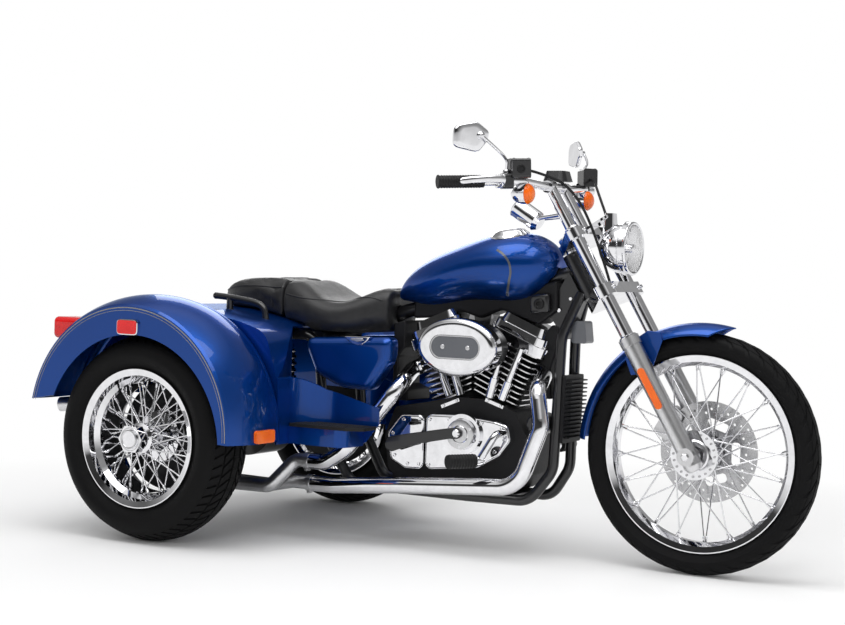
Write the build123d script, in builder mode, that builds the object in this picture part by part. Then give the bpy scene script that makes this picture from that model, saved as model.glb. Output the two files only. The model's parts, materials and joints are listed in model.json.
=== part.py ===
from build123d import *
import math
import os

os.makedirs("parts", exist_ok=True)

# Driving sizes in millimetres. X forward from the rear axle, Y left, Z up from the floor.
WHEELBASE = 1534.0
RAKE = 31.0
TRAIL = 117.0

# Front wheel.
FRONT_TYRE_R = 345.0
FRONT_TYRE_HALF_W = 45.0
FRONT_RIM_R = 281.0
FRONT_BEAD_R = 267.0
FRONT_BEAD_HALF_W = 24.0
FRONT_RIM_HALF_W = 30.0
FRONT_WELL_HALF_W = 9.0
DISC_R = 146.0
DISC_Y = 60.0
DISC_T = 5.0

# Rear wheels.
REAR_TYRE_R = 313.0
REAR_TYRE_HALF_W = 100.0
REAR_RIM_R = 207.5
REAR_BEAD_R = 191.0
REAR_BEAD_HALF_W = 75.0
REAR_RIM_HALF_W = 85.0
REAR_WELL_HALF_W = 40.0
REAR_HALF_TRACK = 545.0

# Clearances.
SEAT_GAP = 0.1
BODY_GAP = 0.3
REST_GAP = 0.5
PIVOT_GAP = 0.3

# Rear wings: arch centre, bead and crest radii, ends in degrees, wheel opening.
BODY_HALF_W = 660.0
ARCH_X = -20.0
ARCH_Z = 335.0
BEAD_R = 379.0
CREST_R = 406.0
SHOULDER_R = 395.0
WING_INNER_Y = 405.0
WING_T = 6.0
WING_FRONT_DEG = -2.0
WING_REAR_DEG = 170.3
WING_TAIL_SLOPE_DEG = 10.0
LIP_R = 324.0
LIP_X = 0.0
LIP_Z = 299.0

# Fork and steering.
FORK_HALF_Y = 100.0
TUBE_R = 19.5
SLIDER_R = 27.0
STEM_R = 13.0
NECK_R = 28.0
LOWER_CLAMP_S = 508.0
LOWER_CLAMP_T = 36.0
UPPER_CLAMP_S = 700.0
UPPER_CLAMP_T = 28.0
SLIDER_TOP_S = 375.0
TUBE_BOTTOM_S = 160.0
AXLE_R = 9.5

# Engine.
CRANK_X = 832.0
CRANK_Z = 330.0
V_HALF_DEG = 22.5
CASE_HALF_W = 100.0
CASE_BOTTOM_Z = 186.0
CYL_BASE = 132.0
CYL_TOP = 322.0
ROCKER_TOP = 402.0
FIN_COUNT = 11
FIN_T = 3.2
FIN_LENGTH = 188.0
FIN_DEPTH = 146.0
CAM_FACE_Y = CASE_HALF_W + 38.0
PRIMARY_FACE_Y = CASE_HALF_W + 58.0

# Frame.
RAIL_R = 16.0
RAIL_Y = 100.0
RAIL_Z = 168.0
BACKBONE_R = 22.0
SEAT_RAIL_Z = 625.0

# Rear axle.
AXLE_TUBE_R = 38.0
STUB_R = 20.0

SR = math.sin(math.radians(RAKE))
CR = math.cos(math.radians(RAKE))
STEM_OFFSET = (FRONT_TYRE_R * SR / CR - TRAIL) * CR
FORK_UP = (-SR, 0, CR)
FORK_FRONT = (CR, 0, SR)

REAR_REACH = CREST_R * math.cos(math.radians(180 - WING_REAR_DEG)) - ARCH_X
CENTRE_X = (WHEELBASE + FRONT_TYRE_R - REAR_REACH) / 2

pieces = {}


def fork_point(s, y=0.0, ahead=0.0):
    x = WHEELBASE - s * SR + ahead * CR
    z = FRONT_TYRE_R + s * CR + ahead * SR
    return (x, y, z)


def fork_plane(s):
    return Plane(origin=fork_point(s), x_dir=FORK_FRONT, z_dir=FORK_UP)


def wheel_plane(x, y, z, side):
    return Plane(origin=(x, side * y, z), x_dir=(1, 0, 0), z_dir=(0, 0, side))


def arch_plane(x, z, degrees):
    a = math.radians(degrees)
    return Plane(origin=(x, 0, z), x_dir=(math.cos(a), 0, math.sin(a)), z_dir=(-math.sin(a), 0, math.cos(a)))


def side_plane(y, side=-1):
    return Plane(origin=(0, side * y, 0), x_dir=(1, 0, 0), z_dir=(0, -1, 0))


def polar(radius, degrees):
    a = math.radians(degrees)
    return (radius * math.cos(a), radius * math.sin(a))


def other_side(shape):
    return mirror(shape, about=Plane.XZ)


def mirrored(points):
    return points + [(r, -y) for r, y in reversed(points)]


def outline(points, radius):
    with BuildSketch() as flat:
        with BuildLine():
            FilletPolyline(*points, radius=radius, close=True)
        make_face()
    return flat.sketch


def rod(start, end, radius):
    way = Vector(*end) - Vector(*start)
    with BuildPart() as bar:
        with BuildSketch(Plane(origin=start, z_dir=way)):
            Circle(radius)
        extrude(amount=way.length)
    return bar.part


def pipe(points, bends, radius):
    with BuildPart() as run:
        with BuildLine() as way:
            FilletPolyline(*points, radius=bends)
        with BuildSketch(Plane(origin=way.line @ 0, z_dir=way.line % 0)):
            Circle(radius)
        sweep(path=way.line)
    return run.part


# Tyre flank from rim to crown: share of the section height, share of the half width.
FRONT_TYRE_FLANK = [(0.44, 0.93), (0.71, 1.0), (0.90, 0.69), (1.0, 0.22)]
REAR_TYRE_FLANK = [(0.43, 1.0), (0.72, 0.88), (0.87, 0.60), (0.96, 0.32), (1.0, 0.10)]
# Rim inside: depth below the bead seat, half width.
FRONT_RIM_STEPS = [(5.0, 25.0), (16.0, 10.0)]
REAR_RIM_STEPS = [(3.0, 78.0), (8.0, 60.0), (20.0, 45.0), (23.0, 36.0)]
RIM_LIP_H = 3.0
RIM_LIP_W = 4.0
RIM_EDGE = 2.0


def tyre_section(bead_r, rim_r, tyre_r, bead_half, half_w, flank):
    points = [(bead_r, bead_half), (rim_r + RIM_EDGE, bead_half)]
    points += [(bead_r + rise * (tyre_r - bead_r), wide * half_w) for rise, wide in flank]
    return mirrored(points)


def rim_section(rim_r, bead_r, rim_half, bead_half, well_half, steps):
    seat_y = bead_half + SEAT_GAP
    seat_r = bead_r - 2 * SEAT_GAP
    outside = [
        (rim_r - RIM_LIP_H, rim_half), (rim_r, rim_half), (rim_r, rim_half - RIM_LIP_W),
        (rim_r - 2 * RIM_LIP_H, seat_y), (seat_r, seat_y), (seat_r, well_half + 8), (seat_r - 10, well_half),
    ]
    inside = [(bead_r - depth, half) for depth, half in steps]
    return mirrored(outside) + [(r, -y) for r, y in inside] + list(reversed(inside))


# Spoke rows: hub radius, hub plane, rim plane, sweep angle in degrees, count, first angle in degrees.
FRONT_SPOKES = [
    (66.0, -55.0, -4.0, 42.0, 10, 0.0),
    (66.0, -51.0, -2.0, -42.0, 10, 9.0),
    (42.0, 41.0, 4.0, 40.0, 10, 18.0),
    (42.0, 45.0, 2.0, -40.0, 10, 27.0),
]
REAR_SPOKES = [
    (40.0, 62.0, 26.0, 32.0, 15, 0.0),
    (40.0, 57.0, 18.0, -32.0, 15, 6.0),
    (70.0, -34.0, -8.0, 26.0, 15, 12.0),
    (70.0, -29.0, -18.0, -26.0, 15, 18.0),
]
FRONT_SPOKE_R = 2.1
REAR_SPOKE_R = 2.3
SPOKE_SINK = 3.0


def spoke_set(rows, rim_r, wire_r, centre, side):
    wires = []
    for hub_r, hub_y, rim_y, sweep_deg, count, first in rows:
        for i in range(count):
            a = first + 360.0 * i / count
            hx, hz = polar(hub_r, a)
            rx, rz = polar(rim_r, a + sweep_deg)
            start = (centre[0] + hx, centre[1] + side * hub_y, centre[2] + hz)
            end = (centre[0] + rx, centre[1] + side * rim_y, centre[2] + rz)
            wires.append(rod(start, end, wire_r))
    return wires


# Front wheel.
front_centre = (WHEELBASE, 0, FRONT_TYRE_R)
front_axis = Axis(front_centre, (0, 1, 0))
front_wheel_plane = wheel_plane(WHEELBASE, 0, FRONT_TYRE_R, 1)

with BuildPart() as front_tyre:
    with BuildSketch(front_wheel_plane):
        Polygon(*tyre_section(FRONT_BEAD_R, FRONT_RIM_R, FRONT_TYRE_R, FRONT_BEAD_HALF_W, FRONT_TYRE_HALF_W,
                              FRONT_TYRE_FLANK), align=None)
    revolve(axis=front_axis)
pieces["front_tyre"] = front_tyre.part

# Hub profile: radius, distance left of the wheel's middle.
FRONT_BORE_R = AXLE_R + PIVOT_GAP
FRONT_HUB = [
    (FRONT_BORE_R, -62), (40, -62), (44, -58), (70.5, -58), (70.5, -49), (40, -45), (30, -30), (30, 25), (38, 38),
    (48, 38), (48, 48), (38, 50), (38, DISC_Y - 1 - SEAT_GAP), (FRONT_BORE_R, DISC_Y - 1 - SEAT_GAP),
]
with BuildPart() as front_wheel:
    with BuildSketch(front_wheel_plane):
        Polygon(*rim_section(FRONT_RIM_R, FRONT_BEAD_R, FRONT_RIM_HALF_W, FRONT_BEAD_HALF_W, FRONT_WELL_HALF_W,
                             FRONT_RIM_STEPS), align=None)
        Polygon(*FRONT_HUB, align=None)
    revolve(axis=front_axis)
    spoke_end_r = FRONT_BEAD_R - FRONT_RIM_STEPS[-1][0] + SPOKE_SINK
    add(spoke_set(FRONT_SPOKES, spoke_end_r, FRONT_SPOKE_R, front_centre, 1))
pieces["front_wheel"] = front_wheel.part

# Brake disc: five arm windows and three rows of drilled holes.
DISC_HOLES = [(112.0, 0.0), (124.0, 8.0), (136.0, 16.0)]
with BuildPart() as brake_disc:
    with BuildSketch(front_wheel_plane):
        Polygon(
            (AXLE_R + 4, DISC_Y - 1), (60, DISC_Y - 1), (100, DISC_Y), (DISC_R, DISC_Y), (DISC_R, DISC_Y + DISC_T),
            (100, DISC_Y + DISC_T), (60, DISC_Y + 3), (AXLE_R + 4, DISC_Y + 3), align=None,
        )
    revolve(axis=front_axis)
    with BuildSketch(Plane(origin=(WHEELBASE, DISC_Y - 2, FRONT_TYRE_R), x_dir=(1, 0, 0), z_dir=(0, 1, 0))):
        with PolarLocations(82, 5):
            RectangleRounded(26, 66, 10)
        for ring_r, first in DISC_HOLES:
            with PolarLocations(ring_r, 15, start_angle=first):
                Circle(4)
    extrude(amount=DISC_T + 4, mode=Mode.SUBTRACT)
pieces["brake_disc"] = brake_disc.part

# Rear wheels, one on each side. Hub profile: radius, distance out from the wheel's middle.
REAR_BORE_R = STUB_R + PIVOT_GAP
REAR_HUB = [
    (REAR_BORE_R, -72), (62, -72), (62, -62), (76, -60), (76, -24), (44, -18), (34, 0), (34, 50), (46, 54), (46, 66),
    (36, 72), (36, 84), (REAR_BORE_R, 84),
]
HUB_CAP_Y = 82.0
HUB_CAP_T = 30.0
for side, tag in ((-1, "right"), (1, "left")):
    hub_centre = (0.0, side * REAR_HALF_TRACK, REAR_TYRE_R)
    rear_axis = Axis(hub_centre, (0, 1, 0))
    rear_plane = wheel_plane(0, REAR_HALF_TRACK, REAR_TYRE_R, side)
    with BuildPart() as rear_tyre:
        with BuildSketch(rear_plane):
            Polygon(*tyre_section(REAR_BEAD_R, REAR_RIM_R, REAR_TYRE_R, REAR_BEAD_HALF_W, REAR_TYRE_HALF_W,
                                  REAR_TYRE_FLANK), align=None)
        revolve(axis=rear_axis)
    pieces["rear_tyre_" + tag] = rear_tyre.part
    with BuildPart() as rear_wheel:
        with BuildSketch(rear_plane):
            Polygon(*rim_section(REAR_RIM_R, REAR_BEAD_R, REAR_RIM_HALF_W, REAR_BEAD_HALF_W, REAR_WELL_HALF_W,
                                 REAR_RIM_STEPS), align=None)
            Polygon(*REAR_HUB, align=None)
        revolve(axis=rear_axis)
        cap_at = (0, side * (REAR_HALF_TRACK + HUB_CAP_Y), REAR_TYRE_R)
        with BuildSketch(Plane(origin=cap_at, x_dir=(1, 0, 0), z_dir=(0, side, 0))):
            RegularPolygon(44, 6)
        extrude(amount=HUB_CAP_T)
        cap_face = (0, side * (REAR_HALF_TRACK + HUB_CAP_Y + HUB_CAP_T), REAR_TYRE_R)
        with BuildSketch(Plane(origin=cap_face, x_dir=(1, 0, 0), z_dir=(0, side, 0))):
            Circle(29)
        extrude(amount=5)
        spoke_end_r = REAR_BEAD_R - REAR_RIM_STEPS[-1][0] + SPOKE_SINK
        add(spoke_set(REAR_SPOKES, spoke_end_r, REAR_SPOKE_R, hub_centre, side))
    pieces["rear_wheel_" + tag] = rear_wheel.part

# Fork legs, clamps and stem.
fork_pair = [(0, FORK_HALF_Y), (0, -FORK_HALF_Y)]
SLIDER_FOOT_S = -30.0
DROPOUT_Y = 74.0
DROPOUT_W = 54.0
with BuildPart() as fork_tubes:
    with BuildSketch(fork_plane(TUBE_BOTTOM_S)):
        with Locations(*fork_pair):
            Circle(TUBE_R)
    extrude(amount=UPPER_CLAMP_S + UPPER_CLAMP_T + 6 - TUBE_BOTTOM_S)
pieces["fork_tubes"] = fork_tubes.part

with BuildPart() as fork_sliders:
    with BuildSketch(fork_plane(SLIDER_FOOT_S)):
        with Locations(*fork_pair):
            Circle(SLIDER_R)
    extrude(amount=SLIDER_TOP_S - SLIDER_FOOT_S)
    with BuildSketch(fork_plane(SLIDER_FOOT_S)):
        with Locations(*fork_pair):
            Circle(SLIDER_R)
    extrude(amount=-14, taper=28)
    with BuildSketch(fork_plane(SLIDER_TOP_S - 26)):
        with Locations(*fork_pair):
            Circle(SLIDER_R + 3.5)
    extrude(amount=26)
    for side in (-1, 1):
        with BuildSketch(Plane(origin=(WHEELBASE, side * DROPOUT_Y, FRONT_TYRE_R), z_dir=(0, side, 0))):
            Circle(25)
        extrude(amount=DROPOUT_W)
    with BuildSketch(fork_plane(TUBE_BOTTOM_S)):
        with Locations(*fork_pair):
            Circle(TUBE_R + SEAT_GAP)
    extrude(amount=UPPER_CLAMP_S, mode=Mode.SUBTRACT)
    add(rod((WHEELBASE, -200, FRONT_TYRE_R), (WHEELBASE, 200, FRONT_TYRE_R), AXLE_R + SEAT_GAP), mode=Mode.SUBTRACT)
pieces["fork_sliders"] = fork_sliders.part

AXLE_END_Y = DROPOUT_Y + DROPOUT_W
with BuildPart() as front_axle:
    add(rod((WHEELBASE, -AXLE_END_Y, FRONT_TYRE_R), (WHEELBASE, AXLE_END_Y, FRONT_TYRE_R), AXLE_R))
    with BuildSketch(Plane(origin=(WHEELBASE, AXLE_END_Y + 2 * SEAT_GAP, FRONT_TYRE_R), z_dir=(0, 1, 0))):
        RegularPolygon(17, 6)
    extrude(amount=12)
pieces["front_axle"] = front_axle.part

CLAMP_EAR_R = 31.0
STEM_BOSS_R = 26.0
with BuildPart() as fork_clamps:
    for s, t in ((LOWER_CLAMP_S, LOWER_CLAMP_T), (UPPER_CLAMP_S, UPPER_CLAMP_T)):
        with BuildSketch(fork_plane(s)):
            with Locations(*fork_pair):
                Circle(CLAMP_EAR_R)
            with Locations((-STEM_OFFSET, 0)):
                Circle(STEM_BOSS_R)
            Polygon(
                (CLAMP_EAR_R - 1, -FORK_HALF_Y), (CLAMP_EAR_R - 1, FORK_HALF_Y), (-22, FORK_HALF_Y + 20),
                (-STEM_OFFSET - 16, 18), (-STEM_OFFSET - 16, -18), (-22, -FORK_HALF_Y - 20), align=None,
            )
            with Locations(*fork_pair):
                Circle(TUBE_R + SEAT_GAP, mode=Mode.SUBTRACT)
        extrude(amount=t)
    with BuildSketch(fork_plane(LOWER_CLAMP_S)):
        with Locations((-STEM_OFFSET, 0)):
            Circle(STEM_R)
    extrude(amount=UPPER_CLAMP_S + UPPER_CLAMP_T - LOWER_CLAMP_S + 10)
pieces["fork_clamps"] = fork_clamps.part

# Front wing over the front wheel, cut to a pointed tip, with its side stays.
FRONT_WING_R = 371.0
FRONT_WING_EDGE_R = 336.0
FRONT_WING_HALF_W = 60.0
FRONT_WING_T = 3.0
FRONT_WING_TIP_DEG = 76.0
FRONT_WING_TAIL_DEG = 177.0
STAY_OUTLINE = [(-204, 215), (-114, 245), (-34, 360), (-154, 345), (-244, 245)]
with BuildPart() as front_fender:
    with BuildSketch(arch_plane(WHEELBASE, FRONT_TYRE_R, FRONT_WING_TIP_DEG)):
        with BuildLine():
            outer = FRONT_WING_HALF_W
            inner = FRONT_WING_HALF_W - FRONT_WING_T
            edge_r = FRONT_WING_EDGE_R
            ThreePointArc((edge_r, -outer), (FRONT_WING_R, 0), (edge_r, outer))
            Line((edge_r, outer), (edge_r, inner))
            ThreePointArc((edge_r, inner), (FRONT_WING_R - FRONT_WING_T, 0), (edge_r, -inner))
            Line((edge_r, -inner), (edge_r, -outer))
        make_face()
    revolve(axis=Axis(front_centre, (0, -1, 0)), revolution_arc=FRONT_WING_TAIL_DEG - FRONT_WING_TIP_DEG)
    tip_x, tip_z = polar(FRONT_WING_R, FRONT_WING_TIP_DEG)
    jaw_x, jaw_z = polar(FRONT_WING_EDGE_R, FRONT_WING_TIP_DEG + 9)
    with BuildSketch(side_plane(FRONT_WING_HALF_W + 10)):
        with Locations((WHEELBASE, FRONT_TYRE_R)):
            Polygon((tip_x, tip_z - FRONT_WING_T), (jaw_x, jaw_z), (jaw_x, jaw_z - 60), (tip_x + 80, jaw_z - 60),
                    (tip_x + 80, tip_z - FRONT_WING_T), align=None)
    extrude(amount=-2 * (FRONT_WING_HALF_W + 10), mode=Mode.SUBTRACT)
    for side in (-1, 1):
        with BuildSketch(side_plane(FRONT_WING_HALF_W + 2, side)):
            Polygon(*[(WHEELBASE + x, FRONT_TYRE_R + z) for x, z in STAY_OUTLINE], align=None)
        extrude(amount=2.5, both=True)
        for s in (286, 330):
            stay_end = fork_point(s, side * (FORK_HALF_Y - SLIDER_R - BODY_GAP))
            add(rod(fork_point(s, side * FRONT_WING_HALF_W), stay_end, 11))
pieces["front_fender"] = front_fender.part

# Head lamp: place of its face on the fork, radius.
LAMP_X, _, LAMP_Z = fork_point(612, 0, 101.7)
LAMP_R = 77.0
LAMP_DEPTH = 106.0
BEZEL = 7.0
lamp_axis = Axis((0, 0, LAMP_Z), (1, 0, 0))
lamp_plane = Plane(origin=(LAMP_X, 0, LAMP_Z), x_dir=(1, 0, 0), z_dir=(0, -1, 0))
with BuildPart() as headlamp_shell:
    with BuildSketch(lamp_plane):
        with BuildLine():
            Polyline((-LAMP_DEPTH, 14), (-LAMP_DEPTH, 0), (-10, 0), (-10, LAMP_R - BEZEL), (0, LAMP_R - BEZEL), (0, LAMP_R),
                     (-20, LAMP_R), (-24, LAMP_R - 4))
            ThreePointArc((-24, LAMP_R - 4), (-LAMP_DEPTH + 28, 56), (-LAMP_DEPTH, 14))
        make_face()
    revolve(axis=lamp_axis)
    with BuildSketch(Plane(origin=(LAMP_X - 75, 0, LAMP_Z + 40), z_dir=(0, 0, 1))):
        RectangleRounded(40, 46, 12)
    extrude(amount=62, taper=6)
    with BuildSketch(fork_plane(UPPER_CLAMP_S + UPPER_CLAMP_T + BODY_GAP)):
        with Locations((38, 0)):
            RectangleRounded(100, 44, 14)
    extrude(amount=8)
pieces["headlamp_shell"] = headlamp_shell.part

with BuildPart() as headlamp_lens:
    with BuildSketch(lamp_plane):
        with BuildLine():
            glass_r = LAMP_R - BEZEL - SEAT_GAP
            Polyline((13, 6), (13, 0), (-10 + 2 * SEAT_GAP, 0), (-10 + 2 * SEAT_GAP, glass_r), (-2, glass_r))
            ThreePointArc((-2, glass_r), (9, 36), (13, 6))
        make_face()
    revolve(axis=lamp_axis)
pieces["headlamp_lens"] = headlamp_lens.part

# Handle bar on two tall risers.
BAR_R = 12.7
BAR_S = 893.0
RISER_FOOT_S = UPPER_CLAMP_S + UPPER_CLAMP_T + BODY_GAP
RISER_Y = 45.0
RISER_R = 17.0
RISER_AHEAD = -25.0
BAR_CLAMP_R = 18.0
BAR_PATH = [
    fork_point(BAR_S, 0, RISER_AHEAD), fork_point(BAR_S, -100, RISER_AHEAD), fork_point(BAR_S + 9, -225, RISER_AHEAD - 2),
    fork_point(BAR_S + 85, -400, RISER_AHEAD - 153),
]
BAR_BENDS = [55, 70]
bar_x, _, bar_z = BAR_PATH[0]
with BuildPart() as handlebar:
    half_bar = pipe(BAR_PATH, BAR_BENDS, BAR_R)
    add(half_bar)
    add(other_side(half_bar))
    for side in (-1, 1):
        y = side * RISER_Y
        add(rod(fork_point(RISER_FOOT_S, y, RISER_AHEAD), fork_point(RISER_FOOT_S + 22, y, RISER_AHEAD), RISER_R + 4))
        add(rod(fork_point(RISER_FOOT_S, y, RISER_AHEAD), (bar_x, y, bar_z), RISER_R))
        add(rod((bar_x, y - 20, bar_z), (bar_x, y + 20, bar_z), BAR_CLAMP_R))
pieces["handlebar"] = handlebar.part

# Grips, levers and control housings on the bar ends.
BAR_END = Vector(*BAR_PATH[3])
BAR_OUT = (BAR_END - Vector(*BAR_PATH[2])).normalized()
BAR_FRONT = Vector(0, 0, 1).cross(BAR_OUT).normalized()
GRIP_LENGTH = 130.0
GRIP_R = 17.5


def on_bar(back, lift=0.0, ahead=0.0):
    return tuple(BAR_END - BAR_OUT * back + Vector(0, 0, lift) + BAR_FRONT * ahead)


def bar_plane(back, lift=0.0, ahead=0.0):
    return Plane(origin=on_bar(back, lift, ahead), x_dir=BAR_FRONT, z_dir=BAR_OUT)


with BuildPart() as hand_grips:
    with BuildSketch(bar_plane(GRIP_LENGTH)):
        Circle(GRIP_R)
        Circle(BAR_R + SEAT_GAP, mode=Mode.SUBTRACT)
    extrude(amount=GRIP_LENGTH + 6)
    with BuildSketch(bar_plane(-BODY_GAP)):
        Circle(GRIP_R)
    extrude(amount=6)
    add(other_side(hand_grips.part))
pieces["hand_grips"] = hand_grips.part

# The switch housing is followed outwards by the lever's perch, each ending where the next begins.
PERCH_BACK = 186.0
PERCH_W = 17.0
HOUSING_W = 28.0
HOUSING_H = 44.0
with BuildPart() as hand_controls:
    with BuildSketch(bar_plane(PERCH_BACK + BODY_GAP + HOUSING_W)):
        RectangleRounded(46, HOUSING_H, 10)
    extrude(amount=HOUSING_W)
    with BuildSketch(bar_plane(PERCH_BACK + 76, 36, 8)):
        RectangleRounded(46, 56, 8)
    extrude(amount=56)
    add(pipe(BAR_PATH, BAR_BENDS, BAR_R + SEAT_GAP), mode=Mode.SUBTRACT)
    add(other_side(hand_controls.part))
pieces["hand_controls"] = hand_controls.part

with BuildPart() as hand_levers:
    lever_back = PERCH_BACK - PERCH_W / 2
    add(pipe([on_bar(lever_back, 0, 16), on_bar(lever_back, 0, 62), on_bar(118, -4, 66), on_bar(2, -12, 50)], [14, 60], 6))
    with BuildSketch(bar_plane(PERCH_BACK)):
        RectangleRounded(38, 38, 8)
        Circle(BAR_R + SEAT_GAP, mode=Mode.SUBTRACT)
    extrude(amount=PERCH_W)
    add(other_side(hand_levers.part))
pieces["hand_levers"] = hand_levers.part

# Mirrors on stems above the control housings, turned outwards. Outline: inwards, up from the middle.
MIRROR_YAW_DEG = 43.0
MIRROR_OUTLINE = [(-53, -30), (-53, 20), (-40, 35), (14, 46), (53, 18), (50, -8), (22, -44)]
mirror_at = Vector(*fork_point(1052, -354, -50))
mirror_in = Vector(*polar(1, 90 - MIRROR_YAW_DEG), 0)
mirror_front = Vector(*polar(1, -MIRROR_YAW_DEG), 0)
mirror_plane = Plane(origin=tuple(mirror_at), x_dir=tuple(mirror_in), z_dir=tuple(mirror_front))
STEM_BACK = PERCH_BACK + 12.0
with BuildPart() as mirrors:
    add(pipe([on_bar(STEM_BACK, HOUSING_H / 2 + BODY_GAP), on_bar(STEM_BACK, 52),
              tuple(mirror_at + mirror_in * 62 + mirror_front * 26 + Vector(0, 0, -6)),
              tuple(mirror_at + mirror_in * 36)], [14, 12], 4.5))
    with BuildSketch(mirror_plane):
        add(outline(MIRROR_OUTLINE, 12))
    extrude(amount=-7)
    with BuildSketch(mirror_plane):
        add(outline(MIRROR_OUTLINE, 12))
    extrude(amount=9, taper=40)
    add(other_side(mirrors.part))
pieces["mirrors"] = mirrors.part

# Turn signals under the bar: bullet bodies, with their lenses below.
SIGNAL_R = 31.0
signal_at = fork_point(857.5, -208, -21.4)
signal_axis = Axis(signal_at, (1, 0, 0))
signal_plane = Plane(origin=signal_at, x_dir=(1, 0, 0), z_dir=(0, -1, 0))
with BuildPart() as signal_bodies:
    with BuildSketch(signal_plane):
        with BuildLine():
            Polyline((-64, 8), (-64, 0), (-12, 0), (-12, SIGNAL_R), (-30, SIGNAL_R))
            ThreePointArc((-30, SIGNAL_R), (-52, 22), (-64, 8))
        make_face()
    revolve(axis=signal_axis)
    stem_foot = (signal_at[0] - 34, signal_at[1] + 4, signal_at[2] + 12)
    add(rod(stem_foot, fork_point(BAR_S + 6.3, signal_at[1] + 20, RISER_AHEAD - 1.4), 7))
    add(pipe(BAR_PATH, BAR_BENDS, BAR_R + REST_GAP), mode=Mode.SUBTRACT)
    add(other_side(signal_bodies.part))
pieces["signal_bodies"] = signal_bodies.part

# Amber lenses carried by the fork: two signal lenses and two long leg reflectors.
REFLECTOR_S = 215.0
with BuildPart() as amber_lenses:
    with BuildSketch(signal_plane):
        with BuildLine():
            Polyline((6, 4), (6, 0), (-12 + BODY_GAP, 0), (-12 + BODY_GAP, SIGNAL_R - 1))
            ThreePointArc((-12 + BODY_GAP, SIGNAL_R - 1), (1, 20), (6, 4))
        make_face()
    revolve(axis=signal_axis)
    reflector_at = fork_point(REFLECTOR_S, -FORK_HALF_Y - SLIDER_R - BODY_GAP)
    with BuildSketch(Plane(origin=reflector_at, x_dir=FORK_UP, z_dir=(0, -1, 0))):
        SlotOverall(128, 20)
    extrude(amount=7)
    add(other_side(amber_lenses.part))
pieces["amber_lenses"] = amber_lenses.part

# Speedometer: a bullet behind the risers, its face to the rider, on two arms.
SPEEDO_R = 31.0
SPEEDO_LENGTH = 78.0
SPEEDO_UP = (-0.85, 0, 0.53)
with BuildPart() as speedometer:
    with BuildSketch(Plane(origin=fork_point(838, 0, -129), z_dir=SPEEDO_UP)):
        Circle(SPEEDO_R)
    extrude(amount=SPEEDO_LENGTH)
    with BuildSketch(Plane(origin=fork_point(838, 0, -129), z_dir=SPEEDO_UP)):
        Circle(SPEEDO_R)
    extrude(amount=-14, taper=38)
    for side in (-1, 1):
        add(rod(fork_point(847, side * 12, -132), fork_point(800, side * RISER_Y, RISER_AHEAD), 6))
        riser_room = rod(fork_point(RISER_FOOT_S, side * RISER_Y, RISER_AHEAD), (bar_x, side * RISER_Y, bar_z),
                         RISER_R + REST_GAP)
        add(riser_room, mode=Mode.SUBTRACT)
pieces["speedometer"] = speedometer.part

# Warning lamp pod on the bar clamps.
with BuildPart() as bar_pod:
    with BuildSketch(Plane(origin=(bar_x + 4, 0, bar_z + BAR_CLAMP_R + BODY_GAP))):
        RectangleRounded(80, 76, 24)
    extrude(amount=31, taper=18)
pieces["bar_pod"] = bar_pod.part

# Brake caliper on the left leg, astride the disc.
CALIPER_BACK = 120.0
CALIPER_UP = 75.0
with BuildPart() as brake_caliper:
    with BuildSketch(side_plane(DISC_Y + 11, 1)):
        with Locations(Location((WHEELBASE - CALIPER_BACK, FRONT_TYRE_R + CALIPER_UP, 0), 60)):
            RectangleRounded(92, 56, 14)
    extrude(amount=28, both=True)
    with BuildSketch(side_plane(DISC_Y + DISC_T / 2, 1)):
        with Locations((WHEELBASE, FRONT_TYRE_R)):
            Circle(DISC_R + 6)
    extrude(amount=DISC_T / 2 + 5.5, both=True, mode=Mode.SUBTRACT)
    with BuildSketch(fork_plane(0)):
        with Locations((0, FORK_HALF_Y)):
            Circle(SLIDER_R + BODY_GAP)
    extrude(amount=SLIDER_TOP_S - 75, mode=Mode.SUBTRACT)
pieces["brake_caliper"] = brake_caliper.part

with BuildPart() as control_cables:
    add(pipe([on_bar(PERCH_BACK + 77.4, 30, 8), on_bar(PERCH_BACK + 106, 24, 10), fork_point(850, -96, 52),
              fork_point(715, -62, 46), fork_point(LOWER_CLAMP_S + LOWER_CLAMP_T + 1.5, -62, 12)], [30, 50, 60], 4))
    add(other_side(control_cables.part))
pieces["control_cables"] = control_cables.part

# Main frame: neck with its gusset, backbone, two cradle loops, seat rails and cross plates.
NECK_LOW_S = LOWER_CLAMP_S + LOWER_CLAMP_T + 6
NECK_HIGH_S = UPPER_CLAMP_S - 6
SEAT_RAIL_Y = 115.0
CRADLE = [
    fork_point(575, -16, -STEM_OFFSET - 20), (1110, -48, 660), (1101, -60, 262), (1035, -78, RAIL_Z),
    (850, -RAIL_Y, RAIL_Z), (430, -RAIL_Y, RAIL_Z), (330, -SEAT_RAIL_Y, 330), (300, -SEAT_RAIL_Y, SEAT_RAIL_Z),
    (-230, -170, SEAT_RAIL_Z),
]
CRADLE_BENDS = [100, 80, 70, 150, 60, 60, 60]
BACKBONE = [fork_point(640, 0, -STEM_OFFSET - 10), (560, 0, 712), (300, 0, SEAT_RAIL_Z)]
GUSSET_Y = 28.0
backbone_slope = (BACKBONE[0][2] - BACKBONE[1][2]) / (BACKBONE[0][0] - BACKBONE[1][0])


def on_backbone(x):
    return (x, BACKBONE[1][2] + (x - BACKBONE[1][0]) * backbone_slope)


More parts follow.
